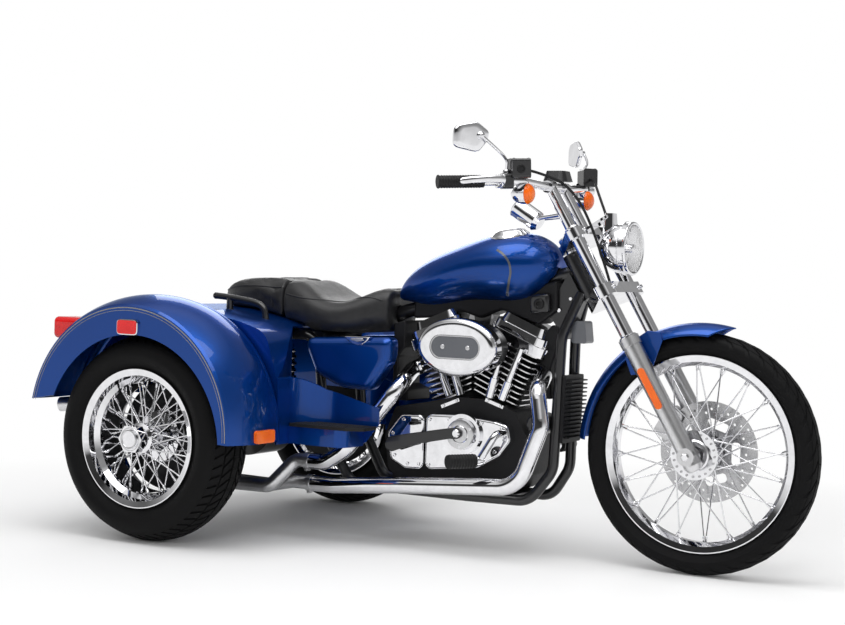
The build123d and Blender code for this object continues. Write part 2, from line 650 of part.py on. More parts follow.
with BuildPart() as frame:
    cradle_loop = pipe(CRADLE, CRADLE_BENDS, RAIL_R)
    add(cradle_loop)
    add(other_side(cradle_loop))
    add(pipe(BACKBONE, [120], BACKBONE_R))
    add(rod((300, -SEAT_RAIL_Y, SEAT_RAIL_Z), (300, SEAT_RAIL_Y, SEAT_RAIL_Z), RAIL_R))
    add(rod((-215, -168, SEAT_RAIL_Z), (-215, 168, SEAT_RAIL_Z), RAIL_R))
    add(rod((330, -170, 330), (330, 170, 330), RAIL_R))
    for x, half in ((560, RAIL_Y), (960, RAIL_Y - 12)):
        with BuildSketch(Plane(origin=(x, 0, RAIL_Z + 6))):
            Rectangle(70, 2 * half)
        extrude(amount=CASE_BOTTOM_Z - REST_GAP - RAIL_Z - 6)
    with BuildSketch(Plane(origin=(760, 0, RAIL_Z - RAIL_R))):
        Rectangle(120, 2 * RAIL_Y)
    extrude(amount=8)
    with BuildSketch(side_plane(GUSSET_Y)):
        neck_back = -STEM_OFFSET - NECK_R + 6
        Polygon(fork_point(646, 0, neck_back)[0:3:2], fork_point(NECK_LOW_S + 6, 0, neck_back)[0:3:2], (1112, 650),
                (1048, 728), align=None)
    extrude(amount=-2 * GUSSET_Y)
    with BuildSketch(side_plane(GUSSET_Y)):
        Polygon(on_backbone(796), on_backbone(880), (858, 678), (810, 678), align=None)
    extrude(amount=-2 * GUSSET_Y)
    with BuildSketch(fork_plane(NECK_LOW_S)):
        with Locations((-STEM_OFFSET, 0)):
            Circle(NECK_R)
    extrude(amount=NECK_HIGH_S - NECK_LOW_S)
    with BuildSketch(fork_plane(NECK_LOW_S - 50)):
        with Locations((-STEM_OFFSET, 0)):
            Circle(STEM_R + PIVOT_GAP)
    extrude(amount=NECK_HIGH_S - NECK_LOW_S + 100, mode=Mode.SUBTRACT)
pieces["frame"] = frame.part

# Engine: case, finned cylinders, rocker covers, side covers, push rods.
CASE_OUTLINE = [
    (560, 230), (600, CASE_BOTTOM_Z), (960, CASE_BOTTOM_Z), (1015, 240), (1030, 360), (990, 432), (880, 462),
    (784, 462), (690, 440), (580, 420), (545, 330),
]
with BuildPart() as engine_case:
    with BuildSketch(side_plane(CASE_HALF_W)):
        add(outline(CASE_OUTLINE, 18))
    extrude(amount=-2 * CASE_HALF_W)
pieces["engine_case"] = engine_case.part

AIR_X = 840.0
AIR_Z = 617.0
AIR_HALF_L = 132.0
AIR_HALF_H = 86.0
AIR_BACK_Y = 112.0
AIR_JOINT_Y = 165.0
AIR_FACE_Y = 212.0
INTAKE_L = 64.0
INTAKE_H = 40.0


def bank_plane(tilt, along):
    a = math.radians(tilt)
    origin = (CRANK_X + along * math.sin(a), 0, CRANK_Z + along * math.cos(a))
    return Plane(origin=origin, x_dir=(math.cos(a), 0, -math.sin(a)), z_dir=(math.sin(a), 0, math.cos(a)))


with BuildPart() as cylinders:
    for tilt in (-V_HALF_DEG, V_HALF_DEG):
        outward = -1 if tilt < 0 else 1
        with BuildSketch(bank_plane(tilt, CYL_BASE - 10)):
            Circle(56)
        extrude(amount=CYL_TOP - CYL_BASE + 10)
        for i in range(FIN_COUNT):
            along = CYL_BASE + 14 + i * (CYL_TOP - CYL_BASE - 18) / (FIN_COUNT - 1)
            with BuildSketch(bank_plane(tilt, along)):
                RectangleRounded(FIN_LENGTH, FIN_DEPTH, 24)
            extrude(amount=FIN_T)
        with BuildSketch(bank_plane(tilt, CYL_TOP - 70)):
            with Locations((outward * 88, 0)):
                Rectangle(40, 70)
        extrude(amount=50)
    with BuildSketch(Plane(origin=(CRANK_X, 0, 300))):
        Rectangle(4, 300)
    extrude(amount=400, mode=Mode.SUBTRACT)
    with BuildSketch(side_plane(FIN_DEPTH)):
        with Locations((CRANK_X, AIR_Z - 6)):
            Rectangle(INTAKE_L + 2 * REST_GAP, INTAKE_H + 2 * REST_GAP)
    extrude(amount=-2 * FIN_DEPTH, mode=Mode.SUBTRACT)
    with BuildSketch(side_plane(CASE_HALF_W)):
        add(outline(CASE_OUTLINE, 18))
        offset(amount=2 * SEAT_GAP)
    extrude(amount=-2 * CASE_HALF_W, mode=Mode.SUBTRACT)
pieces["cylinders"] = cylinders.part

# Rocker covers in three tiers: start, end along the bank, length, depth, outward shift, taper.
ROCKER_TIERS = [
    (CYL_TOP + SEAT_GAP, CYL_TOP + 30, 198.0, 150.0, 8.0, 0.0),
    (CYL_TOP + 30, CYL_TOP + 54, 184.0, 140.0, 5.0, 6.0),
    (CYL_TOP + 54, ROCKER_TOP, 158.0, 118.0, 2.0, 14.0),
]
with BuildPart() as rocker_covers:
    for tilt in (-V_HALF_DEG, V_HALF_DEG):
        outward = -1 if tilt < 0 else 1
        for start, end, length, depth, shift, lean in ROCKER_TIERS:
            with BuildSketch(bank_plane(tilt, start)):
                with Locations((outward * shift, 0)):
                    RectangleRounded(length, depth, 30)
            extrude(amount=end - start, taper=lean)
pieces["rocker_covers"] = rocker_covers.part

# Right side covers: cam chest with its round boss, sprocket cover, oil filter.
CAM_OUTLINE = [(708, 238), (888, 258), (960, 300), (995, 347), (985, 392), (943, 402), (840, 412), (708, 408)]
SPROCKET_OUTLINE = [(703, 404), (622, 402), (575, 345), (587, 262), (640, 236), (703, 238)]
CAM_BOSS = (841, 357)
FILTER_AT = (1058, 399)
FILTER_R = 32.0
with BuildPart() as cam_cover:
    with BuildSketch(side_plane(CASE_HALF_W + SEAT_GAP)):
        add(outline(CAM_OUTLINE, 22))
        add(outline(SPROCKET_OUTLINE, 20))
    extrude(amount=CAM_FACE_Y - CASE_HALF_W - SEAT_GAP)
    fillet(cam_cover.faces().sort_by(Axis.Y)[0:2].edges(), 8)
    with BuildSketch(side_plane(CAM_FACE_Y - 2)):
        with Locations(CAM_BOSS):
            Circle(60)
    extrude(amount=14)
    with BuildSketch(side_plane(CAM_FACE_Y)):
        with Locations(CAM_BOSS):
            Circle(50)
    extrude(amount=24, taper=12)
pieces["cam_cover"] = cam_cover.part

with BuildPart() as oil_filter:
    with BuildSketch(Plane(origin=(1030 - 4, -40, FILTER_AT[1]), z_dir=(1, 0, 0))):
        Circle(10)
    extrude(amount=FILTER_AT[0] - 1030)
    with BuildSketch(side_plane(20)):
        with Locations(FILTER_AT):
            Circle(FILTER_R)
    extrude(amount=80)
    fillet(oil_filter.faces().sort_by(Axis.Y)[0].edges(), 8)
    with BuildSketch(side_plane(CASE_HALF_W + 10)):
        add(outline(CASE_OUTLINE, 18))
        offset(amount=REST_GAP)
    extrude(amount=-2 * CASE_HALF_W, mode=Mode.SUBTRACT)
    add(pipe(CRADLE, CRADLE_BENDS, RAIL_R + REST_GAP), mode=Mode.SUBTRACT)
pieces["oil_filter"] = oil_filter.part

with BuildPart() as primary_cover:
    with BuildSketch(Plane(origin=(0, CASE_HALF_W + SEAT_GAP, 0), x_dir=(-1, 0, 0), z_dir=(0, 1, 0))):
        with Locations((-910, 315)):
            Circle(102)
        with Locations((-680, 310)):
            Circle(88)
        Polygon((-910, 417), (-680, 398), (-680, 222), (-910, 213), align=None)
    extrude(amount=PRIMARY_FACE_Y - CASE_HALF_W - SEAT_GAP)
    fillet(primary_cover.faces().sort_by(Axis.Y)[-1].edges(), 12)
pieces["primary_cover"] = primary_cover.part

# Push rod tubes: foot x, foot z, head x, head z.
PUSH_RODS = [
    (762.0, 464.0, 694.0, 618.0),
    (800.0, 468.0, 742.0, 634.0),
    (898.0, 468.0, 940.0, 634.0),
    (940.0, 464.0, 998.0, 618.0),
]
PUSH_ROD_Y = -87.4
COVER_SHARE = 0.35
with BuildPart() as pushrod_tubes:
    for foot_x, foot_z, head_x, head_z in PUSH_RODS:
        foot = Vector(foot_x, PUSH_ROD_Y, foot_z)
        head = Vector(head_x, PUSH_ROD_Y, head_z)
        add(rod(tuple(foot), tuple(head), 10))
        add(rod(tuple(foot), tuple(foot + (head - foot) * COVER_SHARE), 14))
pieces["pushrod_tubes"] = pushrod_tubes.part

# Air cleaner: drum, domed cover with a long recess, insert plate.
INSERT_L = 168.0
INSERT_H = 72.0
INSERT_DEPTH = 6.0
with BuildPart() as air_cleaner_base:
    with BuildSketch(side_plane(AIR_BACK_Y)):
        with Locations((AIR_X, AIR_Z)):
            Ellipse(AIR_HALF_L - 6, AIR_HALF_H - 6)
    extrude(amount=AIR_JOINT_Y - AIR_BACK_Y - SEAT_GAP)
    with BuildSketch(side_plane(2)):
        with Locations((CRANK_X, AIR_Z - 6)):
            Rectangle(INTAKE_L, INTAKE_H)
    extrude(amount=AIR_BACK_Y)
pieces["air_cleaner_base"] = air_cleaner_base.part

with BuildPart() as air_cleaner_cover:
    with BuildSketch(side_plane(AIR_JOINT_Y)):
        with Locations((AIR_X, AIR_Z)):
            Ellipse(AIR_HALF_L, AIR_HALF_H)
    extrude(amount=AIR_FACE_Y - AIR_JOINT_Y)
    fillet(air_cleaner_cover.faces().sort_by(Axis.Y)[0].edges(), 20)
    with BuildSketch(side_plane(AIR_FACE_Y - INSERT_DEPTH)):
        with Locations((AIR_X, AIR_Z)):
            SlotOverall(INSERT_L, INSERT_H)
    extrude(amount=INSERT_DEPTH, mode=Mode.SUBTRACT)
pieces["air_cleaner_cover"] = air_cleaner_cover.part

with BuildPart() as air_cleaner_insert:
    with BuildSketch(side_plane(AIR_FACE_Y - INSERT_DEPTH + SEAT_GAP)):
        with Locations((AIR_X, AIR_Z)):
            SlotOverall(INSERT_L - 1, INSERT_H - 1)
    extrude(amount=INSERT_DEPTH - 3)
pieces["air_cleaner_insert"] = air_cleaner_insert.part

# Exhaust: two header pipes on the right, links under the body, one cross muffler with a tip each side.
PIPE_R = 25.0
LINK_R = 22.0
MUFFLER_R = 65.0
FRONT_HEADER = [
    (1030, -20, 547), (1052, -40, 538), (1084, -150, 505), (1112, -176, 400), (1052, -190, 222), (657, -190, 192),
    (420, -190, 170), (330, -190, 170),
]
REAR_HEADER = [
    (626, -14, 545), (594, -20, 535), (628, -155, 490), (470, -205, 285), (396, -205, 240), (330, -205, 240),
]
with BuildPart() as exhaust_pipes:
    add(pipe(FRONT_HEADER, [30, 60, 60, 90, 60, 60], PIPE_R))
    add(pipe(REAR_HEADER, [28, 60, 70, 60], PIPE_R))
    add(cylinders.part, mode=Mode.SUBTRACT)
pieces["exhaust_pipes"] = exhaust_pipes.part

LOW_LINK = [(329.5, -190, 170), (270, -190, 170), (180, -190, 150), (-160, -160, 150), (-250, -160, 215)]
HIGH_LINK = [(329.5, -205, 240), (290, -205, 240), (222, -245, 155), (-160, -245, 150), (-250, -245, 215)]
with BuildPart() as exhaust_links:
    add(pipe(LOW_LINK, [60, 60, 50], LINK_R))
    add(pipe(HIGH_LINK, [40, 40, 50], LINK_R))
    add(rod((-265, -400, 280), (-265, 400, 280), MUFFLER_R + BODY_GAP), mode=Mode.SUBTRACT)
pieces["exhaust_links"] = exhaust_links.part

with BuildPart() as muffler:
    add(rod((-265, -330, 280), (-265, 330, 280), MUFFLER_R))
    for side in (-1, 1):
        tail = [(-290, side * 300, 300), (-362, side * 380, 360), (-366, side * 490, 386), (-412, side * 500, 380)]
        add(pipe(tail, [40, 30], LINK_R + 1))
pieces["muffler"] = muffler.part

# Fuel tank by sections: x, centre height, half height, half width.
TANK_SECTIONS = [
    (540.0, 754.0, 16.0, 34.0),
    (610.0, 792.0, 60.0, 82.0),
    (740.0, 827.0, 86.0, 122.0),
    (900.0, 856.0, 104.0, 137.0),
    (1000.0, 862.0, 93.0, 122.0),
    (1050.0, 866.0, 60.0, 88.0),
    (1078.0, 864.0, 24.0, 46.0),
]
with BuildPart() as fuel_tank:
    for x, zc, hh, hw in TANK_SECTIONS:
        with BuildSketch(Plane(origin=(x, 0, zc), x_dir=(0, 1, 0), z_dir=(1, 0, 0))):
            Ellipse(hw, hh)
    loft()
    add(pipe(BACKBONE, [120], BACKBONE_R + REST_GAP), mode=Mode.SUBTRACT)
    with BuildSketch(side_plane(GUSSET_Y + REST_GAP)):
        Polygon((500, 700), (560, 712), BACKBONE[0][0:3:2], (1150, 700), align=None)
    extrude(amount=-2 * (GUSSET_Y + REST_GAP), mode=Mode.SUBTRACT)
pieces["fuel_tank"] = fuel_tank.part

with BuildPart() as fuel_cap:
    with BuildSketch(Plane(origin=(922, -30, 962), z_dir=(0, -0.12, 1))):
        Circle(30)
    extrude(amount=14)
    add(fuel_tank.part, mode=Mode.SUBTRACT)
pieces["fuel_cap"] = fuel_cap.part

# Rear body between the wings: side outline with its corner radii, front edge in plan.
DECK = [
    (-395, 430), (-390, 560), (-330, 668), (-150, 708), (40, 698), (205, 668), (300, 640), (345, 500), (345, 318),
    (300, 318), (240, 420), (-300, 430),
]
DECK_BENDS = [4, 60, 70, 120, 200, 160, 70, 60, 4, 4, 20, 4]
BODY_IN_Y = WING_INNER_Y - BODY_GAP
TAIL_T = 7.0
FRONT_X = 345.0
BAY_X = 262.0
BAY_Y = 205.0


def tail_block(grow, half_w, front):
    with BuildPart() as block:
        with BuildSketch(side_plane(half_w)):
            add(outline(DECK, DECK_BENDS))
            if grow:
                offset(amount=grow)
                Polygon((-395 - grow, 300), (-395 - grow, 470), (FRONT_X + grow, 470), (FRONT_X + grow, 300), align=None)
        extrude(amount=-2 * half_w)
        with BuildSketch(Plane.XY.offset(250)):
            with BuildLine():
                Polyline((front, -half_w), (-440, -half_w), (-440, half_w), (front, half_w))
                mid_x = front - (FRONT_X - BAY_X) * 0.3
                ThreePointArc((front, half_w), (mid_x, BAY_Y + 112), (front - FRONT_X + BAY_X, BAY_Y))
                Line((front - FRONT_X + BAY_X, BAY_Y), (front - FRONT_X + BAY_X, -BAY_Y))
                ThreePointArc((front - FRONT_X + BAY_X, -BAY_Y), (mid_x, -BAY_Y - 112), (front, -half_w))
            make_face()
        extrude(amount=600, mode=Mode.INTERSECT)
    return block.part


with BuildPart() as tail_body:
    add(tail_block(0, BODY_IN_Y, FRONT_X))
    add(tail_block(-TAIL_T, BODY_IN_Y - TAIL_T, FRONT_X - TAIL_T), mode=Mode.SUBTRACT)
    with BuildSketch(Plane(origin=(300, 0, 300))):
        Rectangle(120, 2 * BAY_Y)
    extrude(amount=352, mode=Mode.SUBTRACT)
    for x, top in ((-120, 704), (180, 667)):
        with BuildSketch(side_plane(BODY_IN_Y - 5)):
            with Locations((x, SEAT_RAIL_Z + RAIL_R + REST_GAP)):
                Rectangle(8, top - SEAT_RAIL_Z - RAIL_R - REST_GAP, align=(Align.MIN, Align.MIN))
        extrude(amount=-2 * (BODY_IN_Y - 5))
pieces["tail_body"] = tail_body.part

# Rear wings. The tail edge lies nearly level; the outer face is a plate with the wheel opening.
EDGE_Y = BODY_HALF_W - 8.0
CREST_Y = WING_INNER_Y + 0.57 * (BODY_HALF_W - WING_INNER_Y)
WING_SWEEP_DEG = 178.0
WING_ROOT_R = 330.0
tail_dx, tail_dz = polar(CREST_R, WING_REAR_DEG)
tail_rise = math.tan(math.radians(WING_TAIL_SLOPE_DEG))


def tail_line(x):
    return (x, ARCH_Z + tail_dz + (x - ARCH_X - tail_dx) * tail_rise)


def below_tail():
    return [tail_line(ARCH_X - 700), tail_line(ARCH_X - 80), (ARCH_X - 80, -300), (ARCH_X - 700, -300)]


with BuildPart() as fender_right:
    with BuildSketch(arch_plane(ARCH_X, ARCH_Z, WING_FRONT_DEG)):
        with BuildLine():
            Line((WING_ROOT_R, -WING_INNER_Y), (SHOULDER_R - 21, -WING_INNER_Y - 2))
            ThreePointArc((SHOULDER_R - 21, -WING_INNER_Y - 2), (SHOULDER_R - 7, -WING_INNER_Y - 12),
                          (SHOULDER_R, -WING_INNER_Y - 35))
            ThreePointArc((SHOULDER_R, -WING_INNER_Y - 35), (CREST_R, -CREST_Y), (BEAD_R, -EDGE_Y))
            Line((BEAD_R, -EDGE_Y), (BEAD_R - 6, -BODY_HALF_W))
            Line((BEAD_R - 6, -BODY_HALF_W), (BEAD_R - 12, -BODY_HALF_W))
            Line((BEAD_R - 12, -BODY_HALF_W), (BEAD_R - 8, 2 - EDGE_Y))
            ThreePointArc((BEAD_R - 8, 2 - EDGE_Y), (CREST_R - WING_T, -CREST_Y),
                          (SHOULDER_R - WING_T, -WING_INNER_Y - 36))
            ThreePointArc((SHOULDER_R - WING_T, -WING_INNER_Y - 36), (SHOULDER_R - 13, -WING_INNER_Y - 15),
                          (SHOULDER_R - 23, -WING_INNER_Y - 8))
            Line((SHOULDER_R - 23, -WING_INNER_Y - 8), (WING_ROOT_R, -WING_INNER_Y - WING_T))
            Line((WING_ROOT_R, -WING_INNER_Y - WING_T), (WING_ROOT_R, -WING_INNER_Y))
        make_face()
    revolve(axis=Axis((ARCH_X, 0, ARCH_Z), (0, -1, 0)), revolution_arc=WING_SWEEP_DEG)
    with BuildSketch(side_plane(BODY_HALF_W - WING_T)):
        with Locations((ARCH_X, ARCH_Z)):
            Circle(BEAD_R - 6)
        with Locations((LIP_X, LIP_Z)):
            Circle(LIP_R, mode=Mode.SUBTRACT)
        Polygon((ARCH_X, ARCH_Z), (ARCH_X + 600, ARCH_Z + 600 * math.tan(math.radians(WING_FRONT_DEG))), (600, -300),
                (-800, -300), (-800, ARCH_Z), align=None, mode=Mode.SUBTRACT)
    extrude(amount=WING_T)
    with BuildSketch(side_plane(BODY_HALF_W + 10)):
        Polygon(*below_tail(), align=None)
    extrude(amount=-2 * BODY_HALF_W, mode=Mode.SUBTRACT)
pieces["fender_right"] = fender_right.part
pieces["fender_left"] = other_side(fender_right.part)

# Side steps ahead of the wings: a wall that sweeps forward from the body, a hollow step, a rubber pad.
STEP_Z = 358.0
STEP_LOW_Z = 306.0
STEP_T = 6.0
WALL_X = FRONT_X + STEP_T + BODY_GAP
WALL_Y = 240.0
WALL_BEND_R = 108.0
STEP_OUT_Y = 346.0
STEP_FRONT_X = 552.0
WALL_FRONT_X = 602.0
WALL_TOP = [(FRONT_X - 10, 512), (420, 468), (572, 430), (620, 416)]
with BuildPart() as side_steps:
    with BuildSketch(Plane(origin=(0, 0, STEP_LOW_Z))):
        with BuildLine():
            turn = math.cos(math.radians(45)) * WALL_BEND_R
            inner_turn = math.cos(math.radians(45)) * (WALL_BEND_R + STEP_T)
            cx = WALL_X + WALL_BEND_R
            cy = -WALL_Y - WALL_BEND_R
            Polyline((WALL_X - STEP_T, cy), (WALL_X - STEP_T, REST_GAP - WING_INNER_Y), (WALL_X, REST_GAP - WING_INNER_Y),
                     (WALL_X, cy))
            ThreePointArc((WALL_X, cy), (cx - turn, cy + turn), (cx, -WALL_Y))
            Polyline((cx, -WALL_Y), (WALL_FRONT_X, -WALL_Y + 4), (WALL_FRONT_X, -WALL_Y + 4 + STEP_T), (cx, -WALL_Y + STEP_T))
            ThreePointArc((cx, -WALL_Y + STEP_T), (cx - inner_turn, cy + inner_turn), (WALL_X - STEP_T, cy))
        make_face()
    extrude(amount=260)
    with BuildSketch(side_plane(0)):
        Polygon(*WALL_TOP, (620, 700), (FRONT_X - 10, 700), align=None)
        Polygon((620, STEP_Z + 30), (598, STEP_Z + 10), (560, 318), (530, 300), (620, 300), align=None)
    extrude(amount=600, mode=Mode.SUBTRACT)
    with BuildSketch(Plane(origin=(0, 0, STEP_LOW_Z))):
        add(outline([(WALL_X - STEP_T, 4 - WALL_Y), (WALL_X - STEP_T, -STEP_OUT_Y), (STEP_FRONT_X, -STEP_OUT_Y),
                     (STEP_FRONT_X, 4 - WALL_Y)], [2, 4, 36, 2]))
    extrude(amount=STEP_Z - STEP_LOW_Z)
    with BuildSketch(Plane(origin=(0, 0, STEP_LOW_Z - 1))):
        Polygon((WALL_X, STEP_T - STEP_OUT_Y), (512, STEP_T - STEP_OUT_Y), (512, -2 - WALL_Y), (WALL_X, -2 - WALL_Y),
                align=None)
    extrude(amount=STEP_Z - STEP_LOW_Z + 1 - STEP_T, mode=Mode.SUBTRACT)
    add(other_side(side_steps.part))
pieces["side_steps"] = side_steps.part

PAD_T = 10.0
PAD_OUTLINE = [
    (WALL_X + 4, -STEP_OUT_Y - 4), (WALL_X + 4, -WALL_Y - 4), (WALL_FRONT_X + 2, -WALL_Y - 4), (WALL_FRONT_X + 2, -318),
    (560, -STEP_OUT_Y - 4),
]
with BuildPart() as step_pads:
    with BuildSketch(Plane(origin=(0, 0, STEP_Z + SEAT_GAP))):
        add(outline(PAD_OUTLINE, [6, WALL_BEND_R - 10, 10, 20, 30]))
    extrude(amount=PAD_T)
    add(other_side(step_pads.part))
pieces["step_pads"] = step_pads.part

# Grab rails: flat bars standing on the deck beside the pillion seat.
RAIL_BAR_W = 14.0
GRAB_Y = 223.0
with BuildPart() as grab_rails:
    with BuildSketch(side_plane(GRAB_Y)):
        with BuildLine():
            FilletPolyline((-18, 738), (104, 727), (168, 712), (176, 660), radius=[80, 24])
        trace(line_width=RAIL_BAR_W)
        with BuildLine():
            Line((36, 734), (38, 690))
        trace(line_width=RAIL_BAR_W + 6)
    extrude(amount=RAIL_BAR_W)
    with BuildSketch(side_plane(BODY_IN_Y)):
        add(outline(DECK, DECK_BENDS))
        offset(amount=BODY_GAP)
    extrude(amount=-2 * BODY_IN_Y, mode=Mode.SUBTRACT)
    add(other_side(grab_rails.part))
pieces["grab_rails"] = grab_rails.part

# Lamps on the wings, cut to the wing's outside.
LAMP_Y = BODY_HALF_W - 85.0
with BuildPart() as wing_block:
    with BuildSketch(arch_plane(ARCH_X, ARCH_Z, WING_FRONT_DEG)):
        with BuildLine():
            Line((0, -WING_INNER_Y), (SHOULDER_R - 21 + BODY_GAP, -WING_INNER_Y - 2))
            ThreePointArc((SHOULDER_R - 21 + BODY_GAP, -WING_INNER_Y - 2), (SHOULDER_R - 7 + BODY_GAP, -WING_INNER_Y - 12),
                          (SHOULDER_R + BODY_GAP, -WING_INNER_Y - 35))
            ThreePointArc((SHOULDER_R + BODY_GAP, -WING_INNER_Y - 35), (CREST_R + BODY_GAP, -CREST_Y),
                          (BEAD_R + BODY_GAP, -EDGE_Y))
            Line((BEAD_R + BODY_GAP, -EDGE_Y), (0, -EDGE_Y))
            Line((0, -EDGE_Y), (0, -WING_INNER_Y))
        make_face()
    revolve(axis=Axis((ARCH_X, 0, ARCH_Z), (0, -1, 0)), revolution_arc=WING_SWEEP_DEG)

with BuildPart() as red_lamps:
    with BuildSketch(Plane(origin=(-240, -LAMP_Y, 630), x_dir=(0, 1, 0), z_dir=(-1, 0, 0))):
        RectangleRounded(104, 66, 16)
    extrude(amount=98)
    fillet(red_lamps.faces().sort_by(Axis.X)[0].edges(), 10)
    add(wing_block.part, mode=Mode.SUBTRACT)
    with BuildSketch(side_plane(BODY_HALF_W + BODY_GAP)):
        with Locations((-14, 645)):
            RectangleRounded(72, 40, 9)
    extrude(amount=9)
    add(other_side(red_lamps.part))
pieces["red_lamps"] = red_lamps.part

with BuildPart() as amber_markers:
    with BuildSketch(Plane(origin=(356, 52 - LAMP_Y, 342), x_dir=(0, 1, 0), z_dir=(1, 0, 0))):
        RectangleRounded(90, 38, 9)
    extrude(amount=40)
    add(wing_block.part, mode=Mode.SUBTRACT)
    add(other_side(amber_markers.part))
pieces["amber_markers"] = amber_markers.part

# Seat in two pads by sections: x, bottom, top, half width, corner radius.
SEAT_LOW_Z = SEAT_RAIL_Z + RAIL_R + REST_GAP
RIDER_SECTIONS = [
    (176.0, 650.0, 796.0, 140.0, 50.0),
    (250.0, SEAT_LOW_Z, 780.0, 165.0, 60.0),
    (355.0, SEAT_LOW_Z, 730.0, 172.0, 40.0),
    (450.0, SEAT_LOW_Z, 755.0, 142.0, 50.0),
    (538.0, 655.0, 780.0, 96.0, 48.0),
]
PILLION_SECTIONS = [
    (-90.0, 696.0, 764.0, 84.0, 28.0),
    (-40.0, 690.0, 784.0, 122.0, 38.0),
    (80.0, 680.0, 798.0, 138.0, 42.0),
    (172.0, 650.0, 800.0, 138.0, 46.0),
]
for label, sections in (("rider_seat", RIDER_SECTIONS), ("pillion_seat", PILLION_SECTIONS)):
    with BuildPart() as pad:
        for x, low, high, half, corner in sections:
            with BuildSketch(Plane(origin=(x, 0, (low + high) / 2), x_dir=(0, 1, 0), z_dir=(1, 0, 0))):
                RectangleRounded(2 * half, high - low, corner)
        loft()
        with BuildSketch(side_plane(BODY_IN_Y)):
            add(outline(DECK, DECK_BENDS))
            offset(amount=REST_GAP)
        extrude(amount=-2 * BODY_IN_Y, mode=Mode.SUBTRACT)
        add(pipe(BACKBONE, [120], BACKBONE_R + REST_GAP), mode=Mode.SUBTRACT)
        add(fuel_tank.part, mode=Mode.SUBTRACT)
    pieces[label] = pad.part

# Side covers under the seat, bevelled to a facet.
SIDE_COVER = [(284, 618), (608, 635), (600, 560), (534, 468), (430, 470), (336, 508)]
COVER_Y = SEAT_RAIL_Y + RAIL_R + REST_GAP
COVER_T = 58.0
with BuildPart() as side_covers:
    with BuildSketch(side_plane(COVER_Y)):
        add(outline(SIDE_COVER, 22))
    extrude(amount=COVER_T)
    chamfer(side_covers.faces().sort_by(Axis.Y)[0].edges(), 16)
    add(other_side(side_covers.part))
pieces["side_covers"] = side_covers.part

# Rear axle with trailing arms.
SHOCK_Y = 146.0
with BuildPart() as rear_axle:
    add(rod((0, -430, REAR_TYRE_R), (0, 430, REAR_TYRE_R), AXLE_TUBE_R))
    with BuildSketch(Plane(origin=(0, -70, REAR_TYRE_R), x_dir=(1, 0, 0), z_dir=(0, 1, 0))):
        Circle(95)
    extrude(amount=140)
    for side in (-1, 1):
        add(rod((0, side * 425, REAR_TYRE_R), (0, side * 462, REAR_TYRE_R), 62))
        add(rod((0, side * 440, REAR_TYRE_R), (0, side * (REAR_HALF_TRACK + 75), REAR_TYRE_R), STUB_R))
        add(rod((0, side * SHOCK_Y, 326), (330 - RAIL_R - REST_GAP, side * SHOCK_Y, 326), 24))
pieces["rear_axle"] = rear_axle.part

with BuildPart() as shock_absorbers:
    for side in (-1, 1):
        y = side * SHOCK_Y
        add(rod((0, y, REAR_TYRE_R + AXLE_TUBE_R + REST_GAP), (0, y, SEAT_RAIL_Z - RAIL_R - REST_GAP), 12))
        add(rod((0, y, 390), (0, y, 560), 30))
pieces["shock_absorbers"] = shock_absorbers.part

# Foot pegs: the right one points back from the brake arm, the left one stands straight out.
PEG_R = 20.0
right_root = Vector(930, -206, 290)
right_way = Vector(-0.53, -0.848, 0)
left_root = Vector(985, 214, 306)
left_way = Vector(0, 1, 0)
with BuildPart() as foot_controls:
    add(pipe([(974, -CAM_FACE_Y - REST_GAP, 370), (974, -190, 370), tuple(right_root)], [22], 11))
    add(rod(tuple(right_root - right_way * 12), tuple(right_root + right_way * 14), 14))
    add(pipe([(940, PRIMARY_FACE_Y + REST_GAP, 350), (940, 196, 350), tuple(left_root)], [22], 11))
    add(rod(tuple(left_root - left_way * 10), tuple(left_root + left_way * 14), 14))
pieces["foot_controls"] = foot_controls.part

with BuildPart() as foot_rubbers:
    for root, way in ((right_root, right_way), (left_root, left_way)):
        add(rod(tuple(root + way * (14 + REST_GAP)), tuple(root + way * 104), PEG_R))
pieces["foot_rubbers"] = foot_rubbers.part

# Brake arm behind the cam chest's boss.
ARM_OUTLINE = [(796, 384), (850, 372), (846, 340), (612, 290), (580, 306), (590, 330)]
with BuildPart() as brake_arm:
    with BuildSketch(side_plane(CAM_FACE_Y + REST_GAP)):
        add(outline(ARM_OUTLINE, 8))
        with Locations(CAM_BOSS):
            Circle(60 + REST_GAP, mode=Mode.SUBTRACT)
    extrude(amount=10)
pieces["brake_arm"] = brake_arm.part

# Regulator with cooling fins, on the front of the down tubes.
DOWN_LEAN = (CRADLE[1][0] - CRADLE[2][0]) / (CRADLE[1][2] - CRADLE[2][2])
REGULATOR_Z = 446.0
regulator_x = CRADLE[2][0] + (REGULATOR_Z - CRADLE[2][2]) * DOWN_LEAN + RAIL_R + REST_GAP
regulator_plane = Plane(origin=(regulator_x, 0, REGULATOR_Z), x_dir=(0, 1, 0), z_dir=(1, 0, -DOWN_LEAN))
with BuildPart() as regulator:
    with BuildSketch(regulator_plane):
        RectangleRounded(128, 200, 8)
    extrude(amount=10)
    with BuildSketch(regulator_plane):
        with GridLocations(0, 12, 1, 15):
            Rectangle(112, 4)
    extrude(amount=27)
pieces["regulator"] = regulator.part

# Neck cover: a plain box between the down tubes, under the lower fork clamp.
with BuildPart() as neck_cover:
    with BuildSketch(side_plane(26)):
        add(outline([(1130, 640), (1130, 706), (1172, 706), (1180, 640)], 8))
    extrude(amount=-52)
    add(frame.part, mode=Mode.SUBTRACT)
pieces["neck_cover"] = neck_cover.part

for label, piece in pieces.items():
    placed = piece.moved(Location((-CENTRE_X, 0, 0)))
    placed.label = label
    export_step(placed, "parts/" + label + ".step")
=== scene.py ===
import json
import math

import bpy
from mathutils import Matrix, Vector
from mathutils.bvhtree import BVHTree


